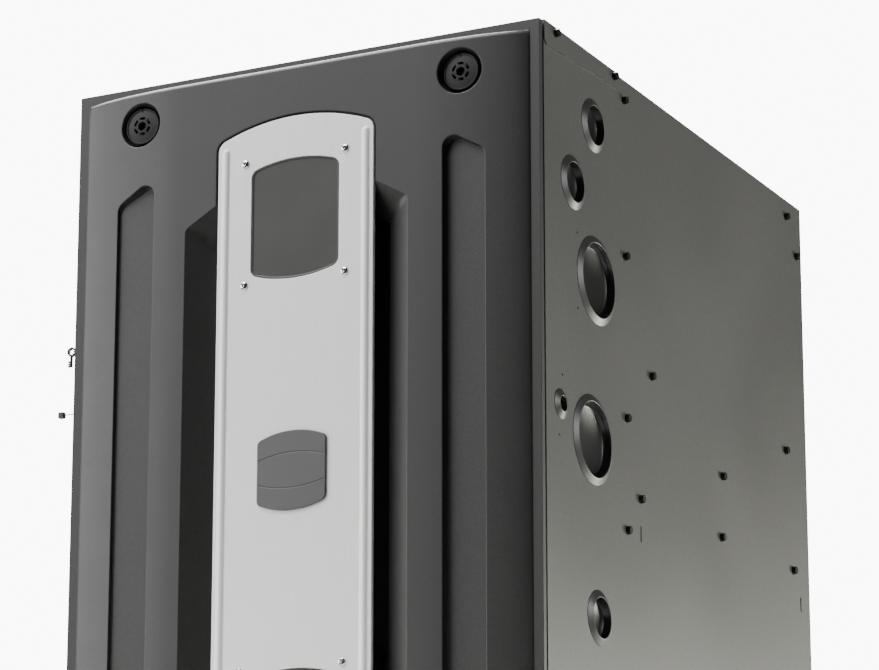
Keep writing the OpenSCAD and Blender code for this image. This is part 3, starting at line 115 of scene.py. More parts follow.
def finish(name, dark, light, rough, grain_mm, depth_mm, metallic=0.0, ior=1.5, drawn=(1, 1, 1), cells=False,
           wave_mm=45.0, wave_depth_mm=0.0, haze=0.04, coat=0.0):
    """A finish in object coordinates, so that its grain has a real size. The grain steers the colour and the
    relief, and a slower unevenness steers the gloss."""
    made = bpy.data.materials.new(name)
    made.use_nodes = True
    tree = made.node_tree
    tree.nodes.clear()
    place = add(tree, "ShaderNodeTexCoord").outputs["Object"]
    along = add(tree, "ShaderNodeMapping", {}, {"Vector": place, "Scale": [1 / s for s in drawn]}).outputs[0]
    if cells:
        flake = add(tree, "ShaderNodeTexVoronoi", {}, {"Vector": along, "Scale": 1000 / grain_mm})
        grain = add(tree, "ShaderNodeSeparateColor", {}, {"Color": flake.outputs["Color"]}).outputs[0]
    else:
        grain = add(tree, "ShaderNodeTexNoise", {}, {
            "Vector": along, "Scale": 1000 / grain_mm, "Detail": 2.0}).outputs["Fac"]
    wave = add(tree, "ShaderNodeTexNoise", {}, {
        "Vector": place, "Scale": 1000 / wave_mm, "Detail": 1.0}).outputs["Fac"]
    share = add(tree, "ShaderNodeMapRange", {}, {"Value": grain, "From Min": 0.3, "From Max": 0.7})
    colour = add(tree, "ShaderNodeMix", {"data_type": "RGBA"}, {
        0: share.outputs[0], 6: linear(dark), 7: linear(light)})
    gloss = add(tree, "ShaderNodeMapRange", {}, {
        "Value": wave, "From Min": 0.3, "From Max": 0.7, "To Min": rough - haze, "To Max": rough + haze})
    slow = add(tree, "ShaderNodeBump", {}, {"Height": wave, "Distance": wave_depth_mm / 1000})
    fine = add(tree, "ShaderNodeBump", {}, {
        "Height": grain, "Distance": depth_mm / 1000, "Normal": slow.outputs[0]})
    shader = add(tree, "ShaderNodeBsdfPrincipled", {}, {
        "Base Color": colour.outputs[2], "Roughness": gloss.outputs[0], "Metallic": metallic, "IOR": ior,
        "Coat Weight": coat, "Coat Roughness": 0.2, "Normal": fine.outputs[0]})
    add(tree, "ShaderNodeOutputMaterial", {}, {"Surface": shader.outputs[0]})
    return made


# Painted board floor: matt, with the faint unevenness of a rolled coat
floor_paint = finish("studio_floor_rolled_paint", "#d0d0ce", "#dadad8", 0.7, 3.0, 0.05)
SIDES, FLOOR_TOP, FLOOR_UNDER = 128, -0.0003, -0.006
rim = [(math.cos(math.tau * i / SIDES), math.sin(math.tau * i / SIDES)) for i in range(SIDES)]
floor = bpy.data.meshes.new("floor")
floor.from_pydata([(x, y, z) for z in (FLOOR_TOP, FLOOR_UNDER) for x, y in rim], [],
                  [list(range(SIDES)), list(range(2 * SIDES - 1, SIDES - 1, -1))]
                  + [[i, SIDES + i, SIDES + (i + 1) % SIDES, (i + 1) % SIDES] for i in range(SIDES)])
floor.materials.append(floor_paint)
floor_disc = bpy.data.objects.new("floor", floor)
scene.collection.objects.link(floor_disc)

# Cabinet panels: zinc-coated steel sheet, folded at a press brake and then powder coated charcoal, screwed
# together along the folds. The rail closes the front of the top, and the supply flanges stand up for the duct.
WELD_M, EDGE_ANGLE = 1e-5, 35


def dress(names, material, edge_mm=0.3):
    """CAD nodes shown in their own shape, with a finish and with the small round that a worked edge has."""
    for name in names.split():
        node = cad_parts[name]
        node.data.materials.clear()
        node.data.materials.append(material)
        if edge_mm:
            node.modifiers.new("joined", "WELD").merge_threshold = WELD_M
            edge = node.modifiers.new("edge", "BEVEL")
            edge.width, edge.segments, edge.use_clamp_overlap = edge_mm / 1000, 2, False
            edge.limit_method, edge.angle_limit, edge.harden_normals = "ANGLE", math.radians(EDGE_ANGLE), True


# Fine-grained powder coat on steel: a satin sheen broken by orange peel about 2 mm across
charcoal_coat = finish("cabinet_charcoal_powder_coat", "#4d4d4b", "#5a5a58", 0.42, 2.0, 0.05,
                       wave_mm=260.0, wave_depth_mm=0.12)
dress("left_side_panel right_side_panel back_panel bottom_panel", charcoal_coat, 0)
dress("top_front_rail supply_flanges", charcoal_coat, 0)

# Inner panels: bare zinc-coated sheet, pressed and screwed between the sides, with the jaws for the door's
# posts behind the aprons. They part the burner space, the heat exchanger and the blower space.
# Hot-dip zinc: crystals some 12 mm across, each tilted its own way, so each is lighter or darker
zinc = finish("inner_hot_dip_zinc_sheet", "#8f9293", "#a9acad", 0.38, 12.0, 0.01, metallic=0.85, cells=True)
dress("vestibule_panel blower_deck latch_receptacles", zinc)

# Liner: a glass-fibre blanket faced with creased aluminium foil, cut to size and glued inside the heat
# exchanger space, so that the cabinet's skin stays cool.
# Rolled foil: bright, with creases a finger wide
foil = finish("liner_creased_foil", "#b4b6b8", "#c6c8ca", 0.26, 16.0, 0.5, metallic=1.0, wave_mm=5.0,
              wave_depth_mm=0.2)
dress("cabinet_liner", foil)

# Side screws: hex washer-head sheet screws of steel, rolled, hardened and blackened in a bath, and driven
# through the side panels.
# Black oxide: near black with a weak oily sheen
black_oxide = finish("screw_black_oxide_steel", "#191918", "#242423", 0.36, 0.8, 0.02, metallic=0.6)
dress("side_screws", black_oxide, 0.4)

# Knock-out plugs: cups of dark moulded plastic with a conical bezel, pushed into round holes of both side
# panels until the bezel lies on the sheet. The installer takes out those that a pipe or duct needs.
SHARP_ANGLE = 32
CAB_HALF, CAB_FRONT, CAB_DEPTH, HEIGHT = 266.7, -342.0, 684.0, 876.3


def turned(profile, count=96):
    """A closed body turned round +Y from (radius, depth) points, in millimetres."""
    corners = [(r * math.cos(math.tau * k / count), y, r * math.sin(math.tau * k / count))
               for r, y in profile for k in range(count)]
    rows = range(len(profile) - 1)
    faces = [(j * count + k, j * count + (k + 1) % count, (j + 1) * count + (k + 1) % count, (j + 1) * count + k)
             for j in rows for k in range(count)]
    last = len(corners) - count
    return corners, faces + [tuple(reversed(range(count))), tuple(range(last, last + count))]


def piece(name, mesh, material, body, replaces=(), at=None, turn=(0, 0, 0)):
    """A mesh in millimetres made an object that rides on a CAD body and stands for some of its nodes."""
    corners, faces = mesh[0], mesh[1]
    made = bpy.data.meshes.new(name)
    used = sorted({i for f in faces for i in f})
    index = {i: k for k, i in enumerate(used)}
    metres = [[c / 1000 for c in corners[i]] for i in used]
    made.from_pydata(metres, [], [[index[i] for i in f] for f in faces])
    made.shade_smooth()
    if len(mesh) > 2:
        made.normals_split_custom_set([tuple(map(float, v)) for v in mesh[2]])
    else:
        whole = bmesh.new()
        whole.from_mesh(made)
        bmesh.ops.recalc_face_normals(whole, faces=whole.faces)
        whole.to_mesh(made)
        whole.free()
        made.set_sharp_from_angle(angle=math.radians(SHARP_ANGLE))
    made.materials.append(material)
    obj = bpy.data.objects.new(name, made)
    scene.collection.objects.link(obj)
    obj.location = [c / 1000 for c in at or (0, 0, 0)]
    obj.rotation_euler = turn
    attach(obj, body)
    if replaces:
        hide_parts(*replaces)
    return obj


# Moulded plastic cup: satin, with the slight unevenness of a tool that was blasted
plug_plastic = finish("plug_moulded_satin_plastic", "#323232", "#3c3c3b", 0.4, 1.2, 0.03)
# Inside the cup: near-black painted shade for the recess, a little smoother than the bezel, as the tool was not
# blasted there
cup_painted_shade = finish("plug_cup_painted_shade_plastic", "#131313", "#191919", 0.34, 1.2, 0.03)
BEZEL_H, BEZEL_W, PLUG_DEEP, PLUG_WALL, PLUG_EASE = 3.4, 7.3, 8.0, 1.6, 0.3
AXIS = 0.01
# Each plug's place as a share of the panel's depth and height, and its radius
PLUGS = [(0.1708, 0.9145, 28.2), (0.0971, 0.8281, 28.2), (0.1762, 0.7273, 46.1), (0.1569, 0.535, 46.1),
         (0.0491, 0.5567, 15.3), (0.1743, 0.3315, 28.2)]
shared = {}
for k, (back, up, r) in enumerate(PLUGS):
    if r not in shared:
        mouth = r - BEZEL_W
        bore = mouth * 0.9
        low = BEZEL_H - PLUG_DEEP
        back_face = PLUG_WALL - low
        shared[r] = turned([
            (AXIS, back_face), (bore + PLUG_WALL - PLUG_EASE, back_face), (bore + PLUG_WALL, back_face - PLUG_EASE),
            (bore + PLUG_WALL, 0.0), (r - 0.15, 0.0), (r, -0.12), (r - 0.1, -0.35), (r - BEZEL_W / 8, -BEZEL_H / 4),
            (mouth + 0.9, -BEZEL_H + 0.38), (mouth + 0.5, -BEZEL_H + 0.13), (mouth, -BEZEL_H),
            (mouth - 0.35, -BEZEL_H + 0.15), (mouth - 0.5, -BEZEL_H + 0.6), (bore + 0.1, -low - 0.8),
            (bore - 0.3, -low - 0.2), (bore - 0.7, -low), (AXIS, -low)])
    for side, face, turn in (("right", CAB_HALF, math.pi / 2), ("left", -CAB_HALF, -math.pi / 2)):
        name = "%s_knockout_plug_%d" % (side, k + 1)
        at = (face, CAB_FRONT + back * CAB_DEPTH, up * HEIGHT)
        plug = piece(name, shared[r], plug_plastic, "cabinet",
                     ("knockout_plugs",) if k == 0 and side == "right" else (), at, (0, 0, turn))
        # The second finish paints the shade inside the cup as a near-black plastic
        plug.data.materials.append(cup_painted_shade)
        # The cup's inside, all that lies within the crest of the bezel, takes the near-black painted shade
        for part in plug.data.polygons:
            if math.hypot(part.center.x, part.center.z) * 1000 < r - BEZEL_W - 0.45:
                part.material_index = 1

# Ring clip and wire stop: small black nylon mouldings on the left side, for the thermostat wire. The ring
# stands off the panel on an arm with a flat pad, and its barbed stem hangs free.
# Moulded nylon: deep grey with a soft sheen and a slight mottle
nylon = finish("clip_moulded_black_nylon", "#222222", "#2d2d2d", 0.4, 1.5, 0.03)
dress("side_clips", nylon, 0.15)

# Heat exchanger: four serpentine tubes of aluminised steel welded to the vestibule panel, a collector box at
# their ends, and a finned secondary coil under them that cools the gas until its water falls out.
# Aluminised steel, rolled and bent: dull silver, straw to brown where the welding and firing heated it
heated = finish("exchanger_aluminised_steel", "#8d8273", "#b5b1a8", 0.42, 28.0, 0.03, metallic=0.9, wave_mm=9.0,
                wave_depth_mm=0.05)
dress("heat_exchanger_tubes collector_box", heated, 0.25)
# Bare aluminium fin stock: bright, drawn in fine lines across the rolling direction
fin_stock = finish("coil_rolled_aluminium_fins", "#b0b2b4", "#c9cbcc", 0.3, 1.2, 0.02, metallic=1.0,
                   drawn=(30, 1, 1))
dress("secondary_coil", fin_stock, 0)

# Header, trap and drain: the tray under the coil's outlet and its trap are moulded from black plastic, joined
# by a short ribbed rubber hose that is pushed over their stubs.
# Glass-filled plastic: black with a grey bloom of fibres along the flow
filled_plastic = finish("header_glass_filled_plastic", "#1d1d1e", "#2c2c2d", 0.47, 1.6, 0.05,
                        drawn=(1, 1, 4))
dress("header_box condensate_trap inducer_housing", filled_plastic, 0.6)
# Moulded rubber: dull, with a chalky bloom
black_rubber = finish("hose_moulded_black_rubber", "#181818", "#262625", 0.68, 2.2, 0.04)
dress("drain_hose pressure_hose", black_rubber, 0)

# Burner box and rack: folded sheet round four flared barrels on a carrier plate, with the igniter through the
# right side and the flame sensor through the left one, both held in ceramic blocks.
dress("burner_box", zinc)
# Pressed stainless: blue and straw heat tint over a dull silver
pressed = finish("burner_pressed_stainless", "#8a8580", "#b3afa8", 0.36, 11.0, 0.02, metallic=1.0)
dress("burner_rack", pressed, 0.2)
# Steatite: matt cream, with fine dark specks
steatite = finish("probe_pressed_steatite", "#cfc8b6", "#e0dbcc", 0.55, 0.9, 0.02)
dress("igniter flame_sensor", steatite, 0.4)

# Gas train: the die-cast valve with its red turn knob, and the black pipe manifold with a nozzle at each burner.
# Die casting, blasted: an even light grey with a fine tooth
blasted = finish("valve_blasted_die_cast_aluminium", "#9c9e9f", "#b2b4b5", 0.46, 0.9, 0.05, metallic=0.9)
dress("gas_valve", blasted, 0)
# Black pipe: scale with a lacquer, darker in its pits
black_pipe = finish("manifold_lacquered_black_pipe", "#1c1c1d", "#323233", 0.4, 3.5, 0.08, metallic=0.5)
dress("gas_manifold", black_pipe)
# Moulded red plastic: an even gloss with faint flow marks
red_plastic = finish("knob_moulded_red_plastic", "#a81c16", "#bb241c", 0.28, 6.0, 0.01)
dress("gas_valve_knob rollout_button", red_plastic, 0.5)
# Bakelite: black with a brown cast
bakelite = finish("switch_pressed_bakelite", "#1b1917", "#2a2724", 0.34, 1.8, 0.02)
dress("rollout_switch door_switch_plunger", bakelite, 0.4)

# Inducer: a fan wheel in the round housing on the header, turned by a small open motor through a ground shaft
# that also carries a cooling fan. It draws the burnt gas out and pushes it up the vent.
wheel_plastic = finish("wheel_moulded_grey_plastic", "#37373a", "#454548", 0.44, 1.4, 0.03)
dress("inducer_wheel", wheel_plastic, 0.3)
# Baked enamel: black, smooth and a little wavy over the laminations
enamel = finish("motor_baked_black_enamel", "#1f1f21", "#2d2d2f", 0.3, 3.0, 0.02, wave_mm=14.0,
                wave_depth_mm=0.08)
dress("inducer_motor blower_motor", enamel, 1.2)
# Ground steel: fine bright rings round the axis
ground_steel = finish("shaft_ground_bright_steel", "#b4b4b7", "#cbcbce", 0.2, 0.6, 0.006, metallic=1.0,
                      drawn=(1, 30, 1))
dress("inducer_shaft blower_shaft", ground_steel, 0.25)

# Vent and intake: white plastic pipe from the inducer, and two rubber couplings that pass through the top.
# Extruded plastic pipe: clean white with long faint die lines
white_pipe = finish("pipe_extruded_white_plastic", "#d8d8d2", "#e6e6e1", 0.3, 0.9, 0.01, drawn=(1, 1, 60))
dress("vent_pipe", white_pipe, 0.4)
dress("vent_coupling intake_coupling", black_rubber, 0.6)
# Moulded switch bodies: off-white, duller than the pipe
switch_plastic = finish("switch_moulded_white_plastic", "#cbcbc4", "#d9d9d3", 0.4, 1.2, 0.02)
dress("pressure_switch door_switch", switch_plastic, 0.6)

# Blower: a scroll of zinc-coated sheet, a wheel of curled blades on a ground shaft, and a motor held in one
# inlet by a band with three arms.
dress("blower_housing motor_mount", zinc, 0.2)
# Rolled blade strip: brighter and finer than the scroll, without big crystals
blade_steel = finish("wheel_rolled_zinc_strip", "#9d9fa1", "#b7b9ba", 0.34, 1.0, 0.015, metallic=0.9,
                     drawn=(40, 1, 1))
dress("blower_wheel", blade_steel, 0.15)

# Controls: a folded zinc tray on the right panel carries the circuit board on four posts, and the transformer
# below it. The board is lacquered glass laminate with relays, a terminal strip, capacitors and spade lugs.
dress("control_tray", zinc)


def blocks(rows, corner=0.4):
    """Boxes with small chamfers, each a size and a lowest corner in millimetres, as one mesh."""
    corners, faces = [], []
    for size, low in rows:
        solid = bmesh.new()
        bmesh.ops.create_cube(solid, size=1.0)
        for v in solid.verts:
            v.co = [low[i] + size[i] * (v.co[i] + 0.5) for i in range(3)]
        bmesh.ops.bevel(solid, geom=solid.edges[:], offset=min(corner, min(size) / 4), segments=2, affect="EDGES")
        first = len(corners)
        solid.verts.ensure_lookup_table()
        corners += [tuple(v.co) for v in solid.verts]
        faces += [tuple(first + v.index for v in f.verts) for f in solid.faces]
        solid.free()
    return corners, faces


def rods(rows, count=24):
    """Round bars along Y, each (x, z, radius, front, back)."""
    corners, faces = [], []
    for x, z, r, front_y, back_y in rows:
        bar, sides = turned([(AXIS, front_y), (r * 0.85, front_y), (r, front_y + r * 0.15), (r, back_y),
                             (AXIS, back_y)], count)
        faces += [tuple(len(corners) + i for i in f) for f in sides]
        corners += [(x + a, b, z + c) for a, b, c in bar]
    return corners, faces


LAMINATE = (120, 1.8, 130)
corner_low, corner_high = [[c * 1000 for c in corner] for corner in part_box("control_board")]
BOARD_X, BOARD_Y, BOARD_Z = corner_low[0], corner_high[1] - LAMINATE[1], corner_low[2]


def on_board(size, across, up):
    """A block that stands out from the board's face, at so many millimetres across it and up it."""
    return size, (BOARD_X + across, BOARD_Y - size[1], BOARD_Z + up)


# Lacquered laminate: translucent green over copper tracks, seen as lighter bands about 3 mm wide
laminate = finish("board_lacquered_green_laminate", "#16462b", "#23663f", 0.25, 5.0, 0.02, drawn=(1, 1, 6))
piece("board_laminate", blocks([(LAMINATE, (BOARD_X, BOARD_Y, BOARD_Z))], 0.2), laminate, "cabinet",
      ("control_board",))
# Moulded relay cases: black, a little glossy
relay_case = finish("relay_moulded_black_case", "#141414", "#1d1d1e", 0.28, 2.0, 0.01)
RELAY, RELAY_PITCH = (16, 14, 20), 24
relays = [on_board(RELAY, 8 + RELAY_PITCH * k, 32) for k in range(4)]
chips = [on_board((22, 3, 8), 66, 88), on_board((9, 2.4, 7), 44, 80), on_board((14, 7, 5), 92, 66)]
piece("board_relays", blocks(relays + chips), relay_case, "cabinet")
plugs = [on_board((60, 12, 12), 12, 112), on_board((30, 9, 6), 80, 116), on_board((6, 8, 34), 6, 66)]
piece("board_terminal_strip", blocks(plugs), switch_plastic, "cabinet")
# Tinned brass: bright silver with a warm cast
tinned = finish("lug_tinned_brass", "#bdb9ae", "#d2cfc6", 0.25, 1.0, 0.01, metallic=1.0)
LUG_PITCH, PIN_PITCH, SCREW_PITCH = 11, 4.5, 9.6
lugs = [on_board((0.8, 8, 6.3), 16 + LUG_PITCH * k, 8) for k in range(8)]
lugs += [((1.0, 5, 3), (BOARD_X + 82 + PIN_PITCH * k, BOARD_Y - 11, BOARD_Z + 117.5)) for k in range(6)]
piece("board_spade_lugs", blocks(lugs, 0.15), tinned, "cabinet")
screws = [(BOARD_X + 18 + SCREW_PITCH * k, BOARD_Z + 118, 2.6, BOARD_Y - 12.6, BOARD_Y - 11) for k in range(6)]
piece("board_terminal_screws", rods(screws), tinned, "cabinet")
# Sleeved capacitors: dark blue shrink film over an aluminium can
sleeve = finish("capacitor_shrunk_blue_sleeve", "#1d2746", "#2a3760", 0.3, 3.0, 0.01)
cans = [(BOARD_X + across, BOARD_Z + up, r, BOARD_Y - tall, BOARD_Y)
        for across, up, r, tall in ((104, 16, 8, 14), (54, 96, 4, 11), (30, 92, 3, 8))]
piece("board_capacitors", rods(cans), sleeve, "cabinet")

# Transformer: a stack of varnished steel laminations round a taped winding, under a bent zinc-coated clamp
# whose two legs reach back to the tray.
corner_low = [c * 1000 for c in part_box("transformer")[0]]
CORE_X, CORE_Y, CORE_Z = corner_low[0], corner_low[1], corner_low[2] + 7
CORE_W, CORE_T, CORE_H, CORE_STEP, CORE_COUNT = 56, 1.6, 48, 1.8, 13
CLAMP_T, CLAMP_D, CLAMP_GAP = 1.2, 25.4, 0.4
# Varnished laminations: brown-grey plates 0.5 mm thick, drawn three times as thick so that they show
stack = finish("transformer_varnished_laminations", "#4d3b2a", "#6b553d", 0.4, 1.0, 0.08, metallic=0.4,
               drawn=(40, 1, 40))
plates = [((CORE_W, CORE_T, CORE_H), (CORE_X, CORE_Y + 2 + CORE_STEP * k, CORE_Z)) for k in range(CORE_COUNT)]
piece("transformer_stack", blocks(plates, 0.25), stack, "cabinet", ("transformer",))
# Cloth tape wound over the wire: yellow and matt, with a weave
tape = finish("transformer_wound_cloth_tape", "#a9812c", "#c49a3e", 0.6, 1.1, 0.05, drawn=(6, 1, 1))
winding = [((27, 25, 61), (CORE_X + 14.5, CORE_Y + CLAMP_GAP, CORE_Z - 6.6))]
piece("transformer_winding", blocks(winding, 2.5), tape, "cabinet")
clamp = [((CORE_W, CLAMP_D, CLAMP_T), (CORE_X, CORE_Y + CLAMP_GAP, CORE_Z + 46.4))]
clamp += [((CLAMP_T, CLAMP_D, 47), (CORE_X + across, CORE_Y + CLAMP_GAP, CORE_Z + CLAMP_GAP)) for across in (0, 54.8)]
piece("transformer_clamp", blocks(clamp), zinc, "cabinet")

# Door pan, gasket and housings: a pan of bent sheet steel, powder coated grey, whose rim frames the shell. A
# foam strip is stuck round its back, and two black boxes behind the windows close the finger slot's ends.
door_coat = finish("door_grey_powder_coat", "#252524", "#2e2e2d", 0.5, 2.0, 0.04, wave_mm=200.0, wave_depth_mm=0.08)
dress("door_pan", door_coat, 0.5)
# Closed-cell foam: dead black, with open pores on the cut edge
foam = finish("gasket_closed_cell_foam", "#141414", "#232323", 0.85, 1.0, 0.2)
dress("door_gasket", foam)
# Blow-moulded housing: black and dull, with a soft mottle
housing_plastic = finish("housing_moulded_black_plastic", "#181818", "#222222", 0.5, 2.5, 0.05)
dress("window_housings", housing_plastic)

# Door shell: one injection moulding of charcoal plastic, bowed towards both side edges, with two side
# channels, a sloped valley that ends in the finger slot, a seat for the centre strip and four knob pockets.
# It is snapped on the painted pan, and every edge of the tool is rolled, so nothing on it is sharp.
RIM_Y = -351.6
SHELL_HALF, SHELL_LOW, SHELL_TOP, SHELL_WALL, SHELL_ROLL = 256.4, 14.3, 866.0, 2.5, 5.5
BOW, BOW_RUN, BOW_POWER = 16.0, 120.0, 0.68
KNOB_X, KNOB_TOP, KNOB_LOW, POCKET_R = 184.6, 829.1, 47.2, 23.6
# Each recess has its floor's height over the rim, edge roll, inner fillet and the lean of its wall in degrees.
# The slot's floor is measured from the valley's slope.
CHANNEL, POCKET, SEAT, SLOT = (7.5, 1.2, 0.8, 9), (1.2, 1.4, 1.5, 12.6), (12.0, 0.6, 0.4, 2), (-19.5, 2.0, 1.5, 4)
VALLEY_ROLL, VALLEY_LEAN, VALLEY_LOW = 1.5, 56.1, -4.5
FRONT = (Vector((0, RIM_Y, 0)), Vector((1, 0, 0)), Vector((0, 0, 1)), Vector((0, -1, 0)))


def fall(t, roll, lean):
    """Drop below an edge at distance t from it, negative inside: a rolled edge, then a wall that leans."""
    reach = roll * math.cos(math.radians(lean))
    inside = np.clip(reach - t, 0, reach)
    return roll - np.sqrt(roll ** 2 - inside ** 2) + np.maximum(-t, 0) / math.tan(math.radians(lean))


def recess(face, t, floor_height, roll, fillet, lean):
    """Height of a recess in a face: rolled edge, leaning wall, round inner corner, flat floor."""
    tan = math.tan(math.radians(lean))
    over_floor = face - fall(t, roll, lean) - floor_height
    return floor_height + fall((fillet * (1 - math.sin(math.radians(lean))) - over_floor) * tan, fillet, lean)


def spaced(a, b, step):
    """Points from a up to, but not including, b, about a step apart."""
    count = max(1, round(math.dist(a, b) / step))
    return [(a[0] + (b[0] - a[0]) * k / count, a[1] + (b[1] - a[1]) * k / count) for k in range(count)]


def fan(centre, radius, start, end, turn=8.0):
    """Points along an arc, in radians, a few degrees apart."""
    count = max(1, round(abs(end - start) / math.radians(turn)))
    return [(centre[0] + radius * math.cos(start + (end - start) * k / count),
             centre[1] + radius * math.sin(start + (end - start) * k / count)) for k in range(count + 1)]


LEAST_R = 0.05


def polygon(points, corner):
    """A convex outline with rounded corners, counter-clockwise: its signed distance and its ring at a distance."""
    n = len(points)
    sides = []
    for k in range(n):
        (ax, az), (bx, bz) = points[k], points[(k + 1) % n]
        size = math.dist((ax, az), (bx, bz))
        sides.append(((bz - az) / size, (ax - bx) / size, ((bz - az) * ax + (ax - bx) * az) / size))

    def inset(depth):
        """Sharp corners of the outline moved inwards."""
        made = []
        for k in range(n):
            (a, b, p), (c, d, q) = sides[k - 1], sides[k]
            p, q = p - depth, q - depth
            made.append(((p * d - q * b) / (a * d - c * b), (a * q - c * p) / (a * d - c * b)))
        return made

    core = inset(corner)

    def distance(x, z):
        flat = np.max([x * a + z * b - p + corner for a, b, p in sides], axis=0)
        far = np.full_like(flat, 1e9)
        for k in range(n):
            (ax, az), (bx, bz) = core[k], core[(k + 1) % n]
            long = (bx - ax) ** 2 + (bz - az) ** 2
            s = np.clip(((x - ax) * (bx - ax) + (z - az) * (bz - az)) / long, 0, 1)
            far = np.minimum(far, np.hypot(x - ax - s * (bx - ax), z - az - s * (bz - az)))
        return np.where(flat <= 0, flat, far) - corner

    def ring(t, step=9.0):
        if corner + t <= LEAST_R:
            corners = [[c] for c in inset(-t)]
        else:
            corners = []
            for k in range(n):
                start = math.atan2(sides[k - 1][1], sides[k - 1][0])
                turn = (math.atan2(sides[k][1], sides[k][0]) - start) % math.tau
                corners.append(fan(core[k], corner + t, start, start + turn))
        made = []
        for k in range(n):
            made += corners[k][:-1] + spaced(corners[k][-1], corners[(k + 1) % n][0], step)
        return made

    return distance, ring


def barrel(half, low, top, arc, corner):
    """The same for a plate with straight sides and arched ends."""
    mid, rise = (low + top) / 2, (top - low) / 2 - arc

    def distance(x, z):
        x, z = np.abs(x), np.abs(z - mid) - rise
        cx, cz = half - corner, math.sqrt((arc - corner) ** 2 - (half - corner) ** 2)
        in_corner = (z >= cz) & ((x - cx) * cz - (z - cz) * cx >= 0)
        return np.where(in_corner, np.hypot(x - cx, z - cz) - corner, np.maximum(x - half, np.hypot(x, z) - arc))

    def ring(t, step=9.0):
        r = max(corner + t, 0.0)
        cx = half + t - r
        cz = math.sqrt((arc + t - r) ** 2 - cx ** 2)
        lean = math.atan2(cz, cx)
        quarter = fan((cx, cz + rise), r, 0, lean)[:-1] if r > LEAST_R else []
        quarter += fan((0, rise), arc + t, lean, math.pi / 2, math.degrees(step / arc))
        upper = quarter + [(-x, z) for x, z in reversed(quarter[:-1])]
        loop = upper + [(-x, -z) for x, z in upper]
        made = []
        for k, point in enumerate(loop):
            made += spaced(point, loop[(k + 1) % len(loop)], step)
        return [(x, z + mid) for x, z in made]

    return distance, ring


def circle(x, z, radius, turn=6.0):
    """A closed ring of points, a few degrees apart."""
    return fan((x, z), radius, 0, math.tau, turn)[:-1]


MERGED, SLOPE_STEP, SAME_WALL = 1e-4, 0.02, 0.8


def relief(rings, points, height, place, back, keep=None, skirt=None):
    """A closed body whose face is a height over a plane: corners, faces and the normal at each face corner.
    rings are closed lines that the triangles follow. back is a height, or a wall thickness as (thickness,)."""
    flat, edges = [Vector(p) for p in points], []
    for ring in rings:
        first = len(flat)
        flat += [Vector(p) for p in ring]
        edges += [(first + k, first + (k + 1) % len(ring)) for k in range(len(ring))]
    flat, _, faces = delaunay_2d_cdt(flat, edges, [], 0, MERGED)[:3]
    u, v = np.array([p[0] for p in flat]), np.array([p[1] for p in flat])
    tri = np.array([f for f in faces if len(f) == 3])
    if keep is not None:
        tri = tri[keep(u[tri].mean(1), v[tri].mean(1))]
    h = height(u, v)
    e = SLOPE_STEP
    normal = np.stack([(height(u - e, v) - height(u + e, v)) / (2 * e),
                       (height(u, v - e) - height(u, v + e)) / (2 * e), np.ones_like(u)], 1)
    normal /= np.linalg.norm(normal, axis=1)[:, None]
    front = np.stack([u, v, h], 1)
    if isinstance(back, tuple):
        rear, rear_normal = front - normal * back[0], -normal
    else:
        rear, rear_normal = np.stack([u, v, np.full_like(u, back)], 1), np.tile((0.0, 0.0, -1.0), (len(u), 1))
    n = len(u)
    corners = [front, rear]
    out_faces = tri.tolist() + (tri[:, ::-1] + n).tolist()
    out_normals = normal[tri].reshape(-1, 3).tolist() + rear_normal[tri[:, ::-1]].reshape(-1, 3).tolist()
    border = {}
    for a, b, c in tri.tolist():
        for edge in ((a, b), (b, c), (c, a)):
            border[edge] = True
    border = [edge for edge in border if (edge[1], edge[0]) not in border]
    outward, at = [], {}
    for a, b in border:
        d = np.array([v[b] - v[a], u[a] - u[b], 0.0])
        outward.append(d / np.linalg.norm(d))
        at.setdefault(a, []).append(len(outward) - 1)
        at.setdefault(b, []).append(len(outward) - 1)

    def side(k, corner):
        """Normal of a side wall at one corner, shared with the neighbour that runs nearly straight on."""
        total = sum(outward[j] for j in at[corner] if np.dot(outward[j], outward[k]) > SAME_WALL)
        return (total / np.linalg.norm(total)).tolist()

    lower = n
    if skirt is not None:
        corners.append(np.stack([u, v, np.full_like(u, skirt)], 1))
        lower = 2 * n
    for k, (a, b) in enumerate(border):
        out_faces.append([a, a + lower, b + lower, b])
        out_normals += [side(k, a), side(k, a), side(k, b), side(k, b)]
        if skirt is not None:
            out_faces.append([a + lower, a + n, b + n, b + lower])
            out_normals += [(0.0, 0.0, -1.0)] * 4
    origin, ax, ay, az = place
    turn = np.array([ax, ay, az], float)
    made = np.concatenate(corners) @ turn + np.array(origin, float)
    return made, out_faces, np.array(out_normals) @ turn


channel_far, channel_ring = polygon([(166.5, 106.3), (211.0, 132.0), (211.0, 744.3), (166.5, 770.0)], 11.5)
valley_far, valley_ring = polygon([(0, 96.6), (127.5, 170.2), (127.5, 706.1), (0, 779.7), (-127.5, 706.1),
                                   (-127.5, 170.2)], 8.0)
slot_far, slot_ring = polygon([(0, 131.8), (97.0, 187.8), (97.0, 688.5), (0, 744.5), (-97.0, 688.5),
                               (-97.0, 187.8)], 6.0)
seat_far, seat_ring = barrel(91.9, 63.6, 812.7, 222.4, 14.4)


